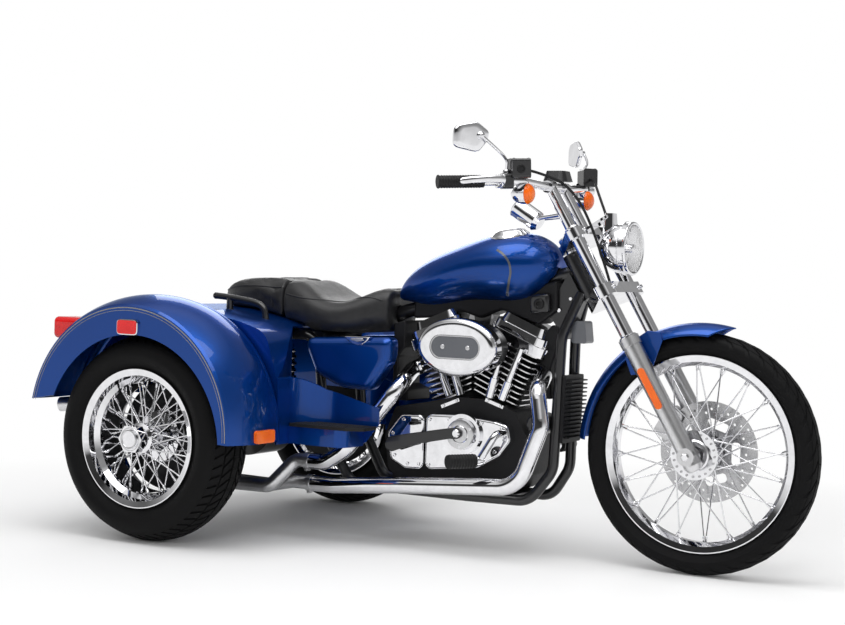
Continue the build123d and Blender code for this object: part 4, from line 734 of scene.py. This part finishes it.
# Bolts, nuts and caps. Each row: x, y, z, axis, radius, height, sides.
fixed = [(x, -138, z, RIGHT, 5.5, 5, 12)
         for x, z in ((724, 254), (800, 262), (884, 275), (945, 312), (975, 352), (966, 382), (900, 392),
                      (790, 396), (724, 392))]
fixed += [(x, -138, z, RIGHT, 5.5, 5, 12)
          for x, z in ((690, 388), (632, 386), (594, 342), (604, 274), (650, 252), (690, 254))]
fixed += [(BOSS_X + 38 * math.cos(t), -162, BOSS_Z + 38 * math.sin(t), RIGHT, 4, 3, 12)
          for t in (0.5, 2.6, 4.7)]
fixed += [(x, 158, z, LEFT, 6, 5, 12)
          for x, z in ((990, 315), (950, 385), (870, 392), (760, 384), (655, 372), (612, 310), (650, 250),
                       (760, 232), (880, 232), (960, 250))]
for tilt in BANKS_DEG:
    a = math.radians(tilt)
    axis = (math.sin(a), 0, math.cos(a))
    for c, y, h in ((-84, -52, 352), (-84, 52, 352), (94, -52, 352), (94, 52, 352), (-70, 0, 376),
                    (76, 0, 376)):
        fixed.append((*on_bank(a, h, c, y), axis, 6, 6, 12))
for x, z, r, h in ((1090, 735, 7, 6), (1108, 690, 9, 7), (1126, 770, 6, 6)):
    fixed += [(x, s * 28, z, (0, s, 0), r, h, 6) for s in (-1, 1)]
heap = Heap()
for x, y, z, axis, r, h, sides in fixed:
    heap.bolt(at(x, y, z), axis, r, h, sides)
heap.done("engine_bolts", "chrome", "chassis", "chrome")

SR, CR = math.sin(math.radians(RAKE_DEG)), math.cos(math.radians(RAKE_DEG))


# A point on the fork: s up the legs from the axle's height, ahead in front of the legs' plane.
def fork(s, y=0.0, ahead=0.0):
    return (FRONT_AXLE[0] - s * SR + ahead * CR, y, FRONT_AXLE[2] + s * CR + ahead * SR)


# Fork: cap nuts, clamp bolts, slider collars, axle nuts and the stem nut.
FORK_UP = Vector((-SR, 0, CR))
FORK_FRONT = Vector((CR, 0, SR))
heap = Heap()
for s in (-1, 1):
    heap.lathe(at(*fork(734, s * LEG_Y)), FORK_UP,
               [(0.0195, 0.0), (0.0195, 0.002), (0.017, 0.006), (0.012, 0.006), (0.011, 0.004),
                (0.0, 0.004)], 24)
    for level in (526, 714):
        heap.bolt(at(*fork(level, s * LEG_Y, 30)), FORK_FRONT, 6, 7, 12)
    heap.lathe(at(*fork(375.2, s * LEG_Y)), FORK_UP,
               [(0.0272, 0.0), (0.0272, 0.003), (0.0245, 0.006), (0.0198, 0.006)], 32)
    heap.bolt(by_axle(0, 0, s * 128), (0, s, 0), 11, 6, 6)
heap.lathe(at(*fork(738, 0, -77.4)), FORK_UP,
           [(0.018, -0.004), (0.018, 0.008), (0.014, 0.012), (0.0, 0.012)], 6)
heap.done("fork_bolts", "chrome", "steering", "chrome")

# Bolts of the brake disc.
heap = Heap()
for i in range(5):
    t = 2 * math.pi * i / 5 + 0.63
    heap.bolt(by_axle(34, t, 63), LEFT, 6, 5, 12)
heap.done("disc_bolts", "chrome", "front_wheel", "chrome")

# Ribs and end rings of the grips, along the handlebar's outer run.
BAR_END = Vector(fork(978, -400, -178))
BAR_OUT = (BAR_END - Vector(fork(902, -225, -27))).normalized()


def on_side(v, s):
    return Vector((v.x, -s * v.y, v.z))


heap = Heap()
for s in (-1, 1):
    d = on_side(BAR_OUT, s)
    end = on_side(BAR_END, s)
    for k in range(15):
        heap.ring(at(*(end - d * (6 + 8 * k))), d, 0.0172, 0.0016, 28, 6)
    heap.ring(at(*(end + d * 4)), d, 0.0168, 0.003, 28, 8)
heap.done("grip_ribs", "rubber", "steering", "rubber")

# Raised ribs on the step pads and on the foot pegs.
STEP_TOP = 368.1
heap = Heap()
for s in (-1, 1):
    for k in range(9):
        y = s * (258 + 10 * k)
        x0, x1 = (400 if k < 3 else 372), (588 if k < 7 else 548)
        rows = []
        for x in (x0, x1):
            rows.append([at(x, y + dy, STEP_TOP + dz)
                         for dy, dz in ((-3, -0.5), (-2, 1.4), (2, 1.4), (3, -0.5))])
        heap.strip(rows)
heap.done("step_ribs", "rubber", "chassis", "rubber")
heap = Heap()
for root, way in (((930, -206, 290), (-0.53, -0.848, 0)), ((985, 214, 306), LEFT)):
    for k in range(9):
        heap.ring(at(*(Vector(root) + Vector(way) * (22 + 9.5 * k))), way, 0.0192, 0.0024, 28, 6)
heap.done("peg_ribs", "rubber", "chassis", "rubber")

# Head lamp: reflector, bulb shield and glass in the lens's place.
lx, _, lz = fork(612, 0, 101.7)
heap = Heap()
heap.lathe(at(lx, 0, lz), FORWARD,
           [(0.0695, -0.001), (0.06, -0.0035), (0.045, -0.0062), (0.025, -0.0082), (0.012, -0.0088),
            (0.0, -0.0088)], 64)
heap.lathe(at(lx, 0, lz), FORWARD, [(0.013, -0.0085), (0.013, 0.001), (0.010, 0.003), (0.0, 0.0032)], 24)
heap.done("lamp_reflector", "chrome", "steering", "chrome")
heap = Heap()
heap.lathe(at(lx, 0, lz), FORWARD,
           [(0.0698, -0.002), (0.066, 0.0025), (0.055, 0.0062), (0.036, 0.0098), (0.018, 0.012),
            (0.006, 0.0128), (0.0, 0.0128), (0.0, 0.0104), (0.018, 0.0096), (0.036, 0.0074),
            (0.055, 0.0038), (0.066, 0.0002), (0.0698, -0.0042), (0.0698, -0.002)], 64)
glass = heap.done("lamp_glass", "glass", "steering", "glass", 60)
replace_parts(glass, "headlamp_lens")
heap = Heap()
heap.ring(at(lx - 2, 0, lz), FORWARD, 0.0735, 0.0048, 72, 10)
heap.ring(at(lx - 21, 0, lz), FORWARD, 0.0765, 0.0022, 72, 8)
heap.done("lamp_bezel", "chrome", "steering", "chrome")

# Mirrors: rounded housings on bent stems, glass towards the rider.
MIRROR = [(-53, -30), (-53, 20), (-40, 35), (14, 46), (53, 18), (50, -8), (22, -44)]


# An outline with its corners cut, again and again.
def rounded(points, times):
    pts = [Vector(q) for q in points]
    for _ in range(times):
        pts = [q for i in range(len(pts))
               for q in (pts[i - 1].lerp(pts[i], 0.86), pts[i].lerp(pts[(i + 1) % len(pts)], 0.14))]
    return pts


BAR_FRONT = Vector(UP).cross(BAR_OUT).normalized()


# A point by the right grip: back from the bar's end, lifted and ahead.
def on_bar(back, lift=0.0, ahead=0.0):
    return BAR_END - BAR_OUT * back + Vector((0, 0, lift)) + BAR_FRONT * ahead


# A point of the right side, on side s.
def mirrored(q, s):
    return at(*on_side(q, s))


mirror_at = Vector(fork(1052, -354, -50))
yaw = math.radians(43)
m_in = Vector((math.sin(yaw), math.cos(yaw), 0))
m_front = Vector((math.cos(yaw), -math.sin(yaw), 0))
shape = rounded(MIRROR, 3)
SHELL = [(0.90, -6.0), (0.935, -6.4), (0.965, -7.0), (0.99, -6.2), (1.0, -3.5), (0.998, 1.0), (0.975, 4.5),
         (0.93, 7.0), (0.86, 8.4), (0.6, 8.8), (0.3, 9.0), (0.001, 9.0)]
shells, glasses = Heap(), Heap()
for s in (-1, 1):
    rows = []
    for k, depth in SHELL:
        ring = [mirror_at + m_in * q.x * k + Vector((0, 0, q.y * k)) + m_front * depth for q in shape]
        rows.append([mirrored(q, s) for q in ring + ring[:1]])
    shells.strip(rows)
    pane = [mirrored(mirror_at + m_in * q.x * 0.94 + Vector((0, 0, q.y * 0.94)) - m_front * 6.5, s)
            for q in shape]
    glasses.put(pane + [sum(pane, Vector()) / len(pane)],
                [(i, (i + 1) % len(pane), len(pane)) for i in range(len(pane))])
    shells.lathe(mirrored(mirror_at + m_in * 26 + Vector((0, 0, 4)) + m_front * 8, s), on_side(m_front, s),
                 [(0.012, -0.001), (0.012, 0.003), (0.0085, 0.006), (0.0085, 0.011), (0.005, 0.014),
                  (0.0, 0.0145)], 24)
    stem = [on_bar(198, 22.5), on_bar(198, 40, 1), on_bar(199, 62, 4),
            mirror_at + m_in * 62 + m_front * 24 + Vector((0, 0, -26)),
            mirror_at + m_in * 27 + m_front * 17 + Vector((0, 0, 3))]
    tube("mirror_stem_" + ("right" if s < 0 else "left"), [mirrored(q, s) for q in stem], 0.0043, "chrome",
         "steering")
    shells.lathe(mirrored(on_bar(198, 23), s), UP,
                 [(0.0105, -0.001), (0.0105, 0.008), (0.0075, 0.011), (0.0044, 0.011)], 24)
housing = shells.done("mirror_shells", "chrome", "steering", "chrome", 50)
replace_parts(housing, "mirrors")
glasses.done("mirror_glasses", "mirror", "steering", "chrome")

# Levers: broad blades with a rounded end, on their perches.
# Each row: place on the bar, half height, half thickness.
BLADE = [((177.5, 0, 14), 16, 9), ((177.5, 0, 30), 15, 9), ((174, 2, 48), 12, 7), ((160, 4, 56), 11, 6),
         ((120, 5, 57), 10, 5), ((80, 3, 53), 9.5, 4.5), ((58, 1, 50), 9.5, 4.5), ((50, 0.5, 49), 8, 4),
         ((46, 0.2, 48.5), 4.5, 2.5), ((45, 0, 48.4), 0.1, 0.1)]
heap = Heap()
for s in (-1, 1):
    centres = [on_bar(*c) for c, _, _ in BLADE]
    rows = []
    for k, (_, tall, thick) in enumerate(BLADE):
        run = (centres[min(k + 1, len(BLADE) - 1)] - centres[max(k - 1, 0)]).normalized()
        flat = run.cross(Vector(UP)).normalized()
        ring = [centres[k] + Vector(UP) * tall * math.sin(t) + flat * thick * math.cos(t)
                for t in (2 * math.pi * q / 20 for q in range(21))]
        rows.append([mirrored(q, s) for q in ring])
    heap.strip(rows)
    d = on_side(BAR_OUT, s)
    heap.lathe(mirrored(on_bar(186), s), d, [(0.0134, 0.0), (0.020, 0.0), (0.020, 0.017), (0.0134, 0.017)],
               40)
    f = on_side(BAR_FRONT, s)
    for lift in (-13, 13):
        heap.bolt(mirrored(on_bar(177.5, lift, 20), s), f, 3.5, 4, 12)
    heap.bolt(mirrored(on_bar(174, 13, 46), s), UP, 6, 4, 12)
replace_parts(heap.done("lever_blades", "chrome", "steering", "chrome"), "hand_levers")

# Screws of the reservoir lids, sight-glass rings, switch buttons.
BUTTON_R = 5.5
BUTTON = [(BUTTON_R * MM, -0.001), (BUTTON_R * MM, 0.004), (BUTTON_R * 0.8 * MM, 0.0052), (0.0, 0.0054)]
heap, trim = Heap(), Heap()
for s in (-1, 1):
    f = on_side(BAR_FRONT, s)
    trim.lathe(mirrored(on_bar(232, 34, 31), s), f,
               [(0.0125, -0.001), (0.0125, 0.002), (0.0105, 0.003), (0.0085, 0.003), (0.008, 0.001),
                (0.0, 0.001)], 32)
    for back in (212, 256):
        for ahead in (-8, 24):
            heap.bolt(mirrored(on_bar(back, 64, ahead), s), UP, 3.2, 1.6, 12)
    for lift in (12, -4):
        trim.lathe(mirrored(on_bar(200, lift, -23), s), -f, BUTTON, 20)
heap.done("lid_screws", "satin", "steering", "satin")
trim.done("control_trim", "rubber", "steering", "rubber")

# Speedometer face: bezel, dial, marks, needle.
s_axis = Vector((-0.85, 0, 0.53)).normalized()
s_face = Vector(fork(838, 0, -129)) + s_axis * 78
heap = Heap()
heap.ring(at(*s_face), s_axis, 0.0292, 0.003, 48, 8)
heap.done("speedo_bezel", "chrome", "steering", "chrome")
heap = Heap()
heap.lathe(at(*s_face), s_axis, [(0.0285, 0.0002), (0.0285, 0.0006), (0.0, 0.0006)], 48)
heap.done("speedo_dial", "dial", "steering", "black_metal")
a, u, w = across(s_axis)
heap = Heap()
for k in range(25):
    t = math.radians(-35 + 250 * k / 24)
    d = u * math.cos(t) + w * math.sin(t)
    e = a.cross(d)
    c = at(*s_face) + a * 0.0009
    l0, half = (0.0215, 0.0005) if k % 4 else (0.019, 0.0008)
    heap.put([c + d * l0 - e * half, c + d * 0.025 - e * half, c + d * 0.025 + e * half,
              c + d * l0 + e * half], [(0, 1, 2, 3)])
d = u * math.cos(-0.6) + w * math.sin(-0.6)
e = a.cross(d)
c = at(*s_face) + a * 0.0012
heap.put([c - d * 0.004 - e * 0.001, c + d * 0.020 - e * 0.0004, c + d * 0.020 + e * 0.0004,
          c - d * 0.004 + e * 0.001], [(0, 1, 2, 3)])
heap.done("speedo_marks", "white", "steering", "black_metal")

# Control cables on the route of their solids.
ROUTE = [on_bar(263.4, 30, 8), on_bar(292, 24, 10), Vector(fork(850, -96, 52)), Vector(fork(715, -62, 46)),
         Vector(fork(545.5, -62, 12))]
for s, tag in SIDES:
    points = [mirrored(q, s) for q in ROUTE]
    cable = tube("control_cable_" + tag, points, 0.004, "rubber", "steering")
    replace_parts(cable, "control_cables")

# Exhaust clamps with their bolts.
heap = Heap()
CLAMP_X, CLAMP_R = 336, 26.5
BAND = [(0.0246, -0.009), (CLAMP_R * MM, -0.009), (CLAMP_R * MM, 0.009), (0.0246, 0.009)]
for y, z in ((-190, 170), (-205, 240)):
    heap.lathe(at(CLAMP_X, y, z), FORWARD, BAND, 40)
    heap.bolt(at(CLAMP_X, y, z - CLAMP_R - 1), RIGHT, 5, 16, 6)
heap.done("exhaust_clamps", "satin", "chassis", "satin")

# Border and screws of the bare plate on the air cleaner.
PLATE_X, PLATE_Y, PLATE_Z = 840, -209.1, 617
PLATE_HALF, PLATE_R = 48, 35.5
heap = Heap()
rows = []
for k in range(65):
    t = 2 * math.pi * k / 64
    cx = PLATE_HALF if math.cos(t) > 0 else -PLATE_HALF
    rows.append([at(PLATE_X + cx + (PLATE_R + g) * math.cos(t), PLATE_Y - h,
                    PLATE_Z + (PLATE_R + g) * math.sin(t))
                 for g, h in ((-0.5, 0.0), (-1.0, 1.6), (-4.0, 1.6), (-4.6, 0.0))])
heap.strip(rows)
for x in (PLATE_X - 42, PLATE_X + 42):
    heap.lathe(at(x, PLATE_Y, PLATE_Z), RIGHT,
               [(0.007, -0.001), (0.007, 0.001), (0.0055, 0.0022), (0.003, 0.0022), (0.0026, 0.0008),
                (0.0, 0.0008)], 24)
heap.done("plate_border", "satin", "chassis", "satin")

# Shock springs.
SPRING_R, SPRING_Y, SPRING_Z, SPRING_TALL = 34, 146, 396, 158
SPRING_STEPS, TURN_STEPS = 84, 12
for s, tag in SIDES:
    points = []
    for k in range(SPRING_STEPS + 1):
        t = 2 * math.pi * k / TURN_STEPS
        points.append(at(SPRING_R * math.cos(t), s * SPRING_Y + SPRING_R * math.sin(t),
                         SPRING_Z + SPRING_TALL * k / SPRING_STEPS))
    tube("shock_spring_" + tag, points, 0.0042, "steel", "chassis")

# Lamp frames on the wings and the latches of the side covers.
MARKER_X, MARKER_Z = -14, 645
heap = Heap()
for s in (-1, 1):
    rows = []
    for k in range(41):
        t = 2 * math.pi * k / 40
        cx = math.copysign(abs(math.cos(t)) ** 0.35, math.cos(t))
        cz = math.copysign(abs(math.sin(t)) ** 0.35, math.sin(t))
        rows.append([at(MARKER_X + cx * (36 + g), s * (WING_SIDE + 0.2 + h), MARKER_Z + cz * (20 + g))
                     for g, h in ((0.4, 7.5), (3.0, 6.5), (3.4, 0.0))])
    heap.strip(rows)
heap.done("side_lamp_frames", "chrome", "chassis", "chrome")
LATCH = [(444, 630), (458, 620), (474, 609), (490, 605), (508, 607), (524, 618), (536, 632)]
for side, tag in SIDES:
    prism("cover_latch_" + tag, LATCH, *sorted((side * 170, side * 192.5)), 2.0, "chrome", "chrome")
    prism("latch_bar_" + tag, [(468, 620), (470, 626), (512, 627), (514, 621), (492, 616)],
          *sorted((side * 190, side * 196)), 1.5, "satin", "satin")

# Side covers with softened edges.
smoothed("side_covers", 0.004, 24, 0.001, "paint")

# Grab rails: round bars beside the pillion seat, on posts.
RAIL_Y = 230
RAIL = [(-18, 738), (10, 737), (60, 732), (112, 726), (152, 718), (170, 704), (176, 684), (177, 660)]
for side, tag in SIDES:
    bar = tube("grab_rail_" + tag, [at(x, side * RAIL_Y, z) for x, z in RAIL], 0.0105, "black", "chassis")
    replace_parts(bar, "grab_rails")
    heap = Heap()
    heap.lathe(at(37, side * RAIL_Y, 690), UP,
               [(0.0, -0.006), (0.017, -0.006), (0.017, 0.002), (0.011, 0.008), (0.0105, 0.042)], 24)
    heap.lathe(at(177, side * RAIL_Y, 662), UP,
               [(0.0, -0.012), (0.018, -0.012), (0.018, -0.004), (0.0125, 0.004), (0.0105, 0.012)], 24)
    heap.lathe(at(-18, side * RAIL_Y, 738), (-1, 0, 0.05),
               [(0.0105, -0.004), (0.0105, 0.002), (0.007, 0.007), (0.0, 0.0085)], 24)
    heap.done("rail_posts_" + tag, "black", "chassis", "black_metal")

# Front wing: crowned sheet with a pointed tip, narrow stays and their spacers.
WING_R, WING_BOW, WING_HALF = 371, 68.93, 60
TIP_DEG, END_DEG = 76, 177
rows = []
for k in range(73):
    row = []
    for j in range(25):
        v = -1 + j / 12
        t = v * math.asin(WING_HALF / WING_BOW)
        first = TIP_DEG + 9 * abs(v) ** 1.5
        a = math.radians(first + (END_DEG - first) * k / 72)
        r = WING_R - WING_BOW + WING_BOW * math.cos(t)
        row.append(by_axle(r, a, WING_BOW * math.sin(t)))
    rows.append(row)
heap = Heap()
heap.strip(rows)
wing = heap.done("front_wing", "paint", "steering", "paint", 60)
sheet = wing.modifiers.new("sheet", "SOLIDIFY")
sheet.thickness = 0.003
sheet.offset = 0.0
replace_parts(wing, "front_fender")
STAY = [(-196, 214), (-136, 228), (-104, 318), (-110, 342), (-150, 344), (-182, 322), (-216, 262)]
heap = Heap()
for side, tag in SIDES:
    prism("wing_stay_" + tag, [(FRONT_AXLE[0] + x, FRONT_AXLE[2] + z) for x, z in STAY],
          *sorted((side * 59.5, side * 64.5)), 1.2, "paint", "paint", "steering")
    for level in (286, 330):
        heap.lathe(at(*fork(level, side * 60)), (0, side, 0),
                   [(0.0, -0.004), (0.011, -0.004), (0.011, 0.0135), (0.009, 0.0155), (0.0, 0.0155)], 24)
heap.done("wing_spacers", "satin", "steering", "satin")

# Arm over the cam chest's boss, with its rings and hub; rails at the feet of the pushrods.
ARM = [(832, 376), (819, 376), (735, 360), (640, 342), (600, 332), (588, 312), (592, 296), (612, 288),
       (660, 306), (716, 322), (809, 342), (836, 344), (846, 352), (848, 366)]
arm = prism("gear_arm", ARM, -172, -163.5, 2.5, "black", "black_metal")
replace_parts(arm, "brake_arm")
heap = Heap()
heap.lathe(at(BOSS_X, -162, BOSS_Z), RIGHT,
           [(0.044, -0.001), (0.044, 0.0016), (0.0405, 0.0026), (0.027, 0.0026), (0.0255, 0.001),
            (0.0, 0.001)], 64)
heap.done("boss_ring", "satin", "chassis", "satin")
heap = Heap()
heap.ring(at(BOSS_X, -163, BOSS_Z), RIGHT, 0.0262, 0.0024, 64, 8)
heap.lathe(at(833, -172, 360), RIGHT, [(0.0125, -0.001), (0.0125, 0.003), (0.0095, 0.0055), (0.0, 0.0055)],
           32)
for (x0, z0), (x1, z1) in (((744, 430), (804, 455)), ((893, 461), (953, 442))):
    d = Vector((x1 - x0, z1 - z0)).normalized()
    n = Vector((-d.y, d.x))
    a, b = Vector((x0, z0)), Vector((x1, z1))
    quad = [a - n * 5, b - n * 5, b + n * 5, a + n * 5]
    verts = [at(q.x, y, q.y) for y in (-106, -76) for q in quad]
    heap.put(verts, [(0, 1, 2, 3), (7, 6, 5, 4), (0, 4, 5, 1), (1, 5, 6, 2), (2, 6, 7, 3), (3, 7, 4, 0)])
    for q in (a + d * 9, b - d * 9):
        heap.bolt(at(q.x, -106, q.y), RIGHT, 4.5, 4, 12)
heap.done("chest_trim", "chrome", "chassis", "chrome")

# Rear hub caps: turned ring on each hexagon.
for side, tag in SIDES:
    heap = Heap()
    heap.ring(at(0, side * 662, REAR_AXLE_Z), (0, side, 0), 0.0262, 0.0026, 48, 8)
    heap.ring(at(0, side * 657.3, REAR_AXLE_Z), (0, side, 0), 0.034, 0.0014, 48, 6)
    heap.done("hub_rings_" + tag, "satin", "rear_wheel_" + tag, "satin")

# Floor, light and camera.
floor_mesh = bpy.data.meshes.new("floor")
floor_mesh.from_pydata([(-40, -40, 0), (40, -40, 0), (40, 40, 0), (-40, 40, 0)], [], [(0, 1, 2, 3)])
floor = bpy.data.objects.new("floor", floor_mesh)
scene.collection.objects.link(floor)
m, nt, p = principled("floor_white")
n = noise(nt, 0.6, 2.0)
link(nt, ramp(nt, n, "Fac", [(0.3, 0.86), (0.7, 0.88)]), "Color", p, "Base Color")
fill(p, Roughness=0.6, Specular_IOR_Level=0.2)
co = shader(nt, "TexCoord")
far = shader(nt, "VectorMath", "LENGTH")
link(nt, co, "Object", far, 0)
span = shader(nt, "Math", "DIVIDE")
span.inputs[1].default_value = 4.0
link(nt, far, "Value", span, 0)
fade = ramp(nt, span, "Value", [(0.30, 0.0), (0.62, 1.0)])
path = shader(nt, "LightPath")
gate = shader(nt, "Math", "MULTIPLY")
link(nt, fade, "Color", gate, 0)
seen = larger(nt, path, "Is Camera Ray", path, "Is Glossy Ray")
link(nt, larger(nt, seen, "Value", path, "Is Transmission Ray"), "Value", gate, 1)
glow = shader(nt, "Emission")
fill(glow, Color=(1, 1, 1, 1), Strength=1.0)
link(nt, blend(nt, gate, "Value", p, glow), 0, nt.nodes["Material Output"], "Surface")
floor_mesh.materials.append(m)

# World: soft white light, white behind, and a banded studio for what shines.
world = bpy.data.worlds.new("studio")
scene.world = world
world.use_nodes = True
wn = world.node_tree
bg = wn.nodes["Background"]
fill(bg, Color=(1, 1, 1, 1), Strength=0.55)
white = shader(wn, "Background")
fill(white, Color=(1, 1, 1, 1), Strength=1.0)
studio = shader(wn, "Background")
fill(studio, Strength=1.0)
co = shader(wn, "TexCoord")
split = shader(wn, "SeparateXYZ")
link(wn, co, "Generated", split, "Vector")
toward = shader(wn, "VectorMath", "DOT_PRODUCT")
toward.inputs[1].default_value = (-0.05, -0.9987, 0.0)
link(wn, co, "Generated", toward, 0)
room = ramp(wn, toward, "Value", [(0.4, 0.0), (0.68, 1.0)])
front = ramp(wn, split, "Z",
             [(0.0, 0.9), (0.07, 0.6), (0.13, 0.05), (0.4, 0.03), (0.5, 0.25), (0.58, 1.0), (0.86, 1.0),
              (0.97, 0.3)])
back = ramp(wn, split, "Z", [(0.0, 0.95), (0.12, 0.7), (0.3, 0.34), (0.5, 0.25), (0.7, 0.3), (0.85, 0.9)])
walls = shader(wn, "Mix")
walls.data_type = "RGBA"
link(wn, room, "Color", walls, "Factor")
link(wn, back, "Color", walls, "A")
link(wn, front, "Color", walls, "B")
link(wn, walls, "Result", studio, "Color")
lp = shader(wn, "LightPath")
shiny = larger(wn, lp, "Is Glossy Ray", lp, "Is Transmission Ray")
lit = blend(wn, shiny, "Value", bg, studio)
link(wn, blend(wn, lp, "Is Camera Ray", lit, white), 0, wn.nodes["World Output"], "Surface")


# A soft box light; shines says whether it shows in reflections.
def area(name, where, aim, size, size_y, power, shines=True):
    d = bpy.data.lights.new(name, "AREA")
    d.shape = "RECTANGLE"
    d.size, d.size_y, d.energy = size, size_y, power
    o = bpy.data.objects.new(name, d)
    scene.collection.objects.link(o)
    o.location = where
    o.visible_glossy = shines
    o.rotation_mode = "QUATERNION"
    o.rotation_quaternion = (Vector(aim) - Vector(where)).to_track_quat("-Z", "Y")


area("key_top", (0.4, -1.2, 4.2), (0, 0, 0.4), 4.0, 3.0, 120)
area("side_right", (1.6, -4.6, 2.2), (0.1, 0, 0.5), 2.4, 2.0, 60, False)
area("front_fill", (4.4, -0.8, 2.0), (0, 0, 0.5), 2.0, 2.0, 30, False)
area("back_left", (-2.5, 3.6, 2.6), (0, 0, 0.5), 2.6, 2.0, 40)

cam_data = bpy.data.cameras.new("photo_camera")
cam = bpy.data.objects.new("photo_camera", cam_data)
scene.collection.objects.link(cam)
scene.camera = cam
CAM_POS = (3176.41, -4499.09, 855.06)
CAM_YAW, CAM_PITCH, CAM_ROLL = 2.08957236, -0.0283722916, 0.0316637336
FOCAL_PX, PHOTO_WIDTH, SENSOR_MM = 1664.93, 845, 36.0
cam_data.sensor_width = SENSOR_MM
cam_data.lens = FOCAL_PX / PHOTO_WIDTH * SENSOR_MM
d = Vector((math.cos(CAM_PITCH) * math.cos(CAM_YAW), math.cos(CAM_PITCH) * math.sin(CAM_YAW),
            math.sin(CAM_PITCH)))
r = d.cross(Vector(UP)).normalized()
u = r.cross(d)
r2 = r * math.cos(CAM_ROLL) + u * math.sin(CAM_ROLL)
u2 = u * math.cos(CAM_ROLL) - r * math.sin(CAM_ROLL)
cam.matrix_world = Matrix.Translation(at(*CAM_POS)) @ Matrix((r2, u2, -d)).transposed().to_4x4()
cam_data.clip_end = 100.0

bpy.context.view_layer.update()
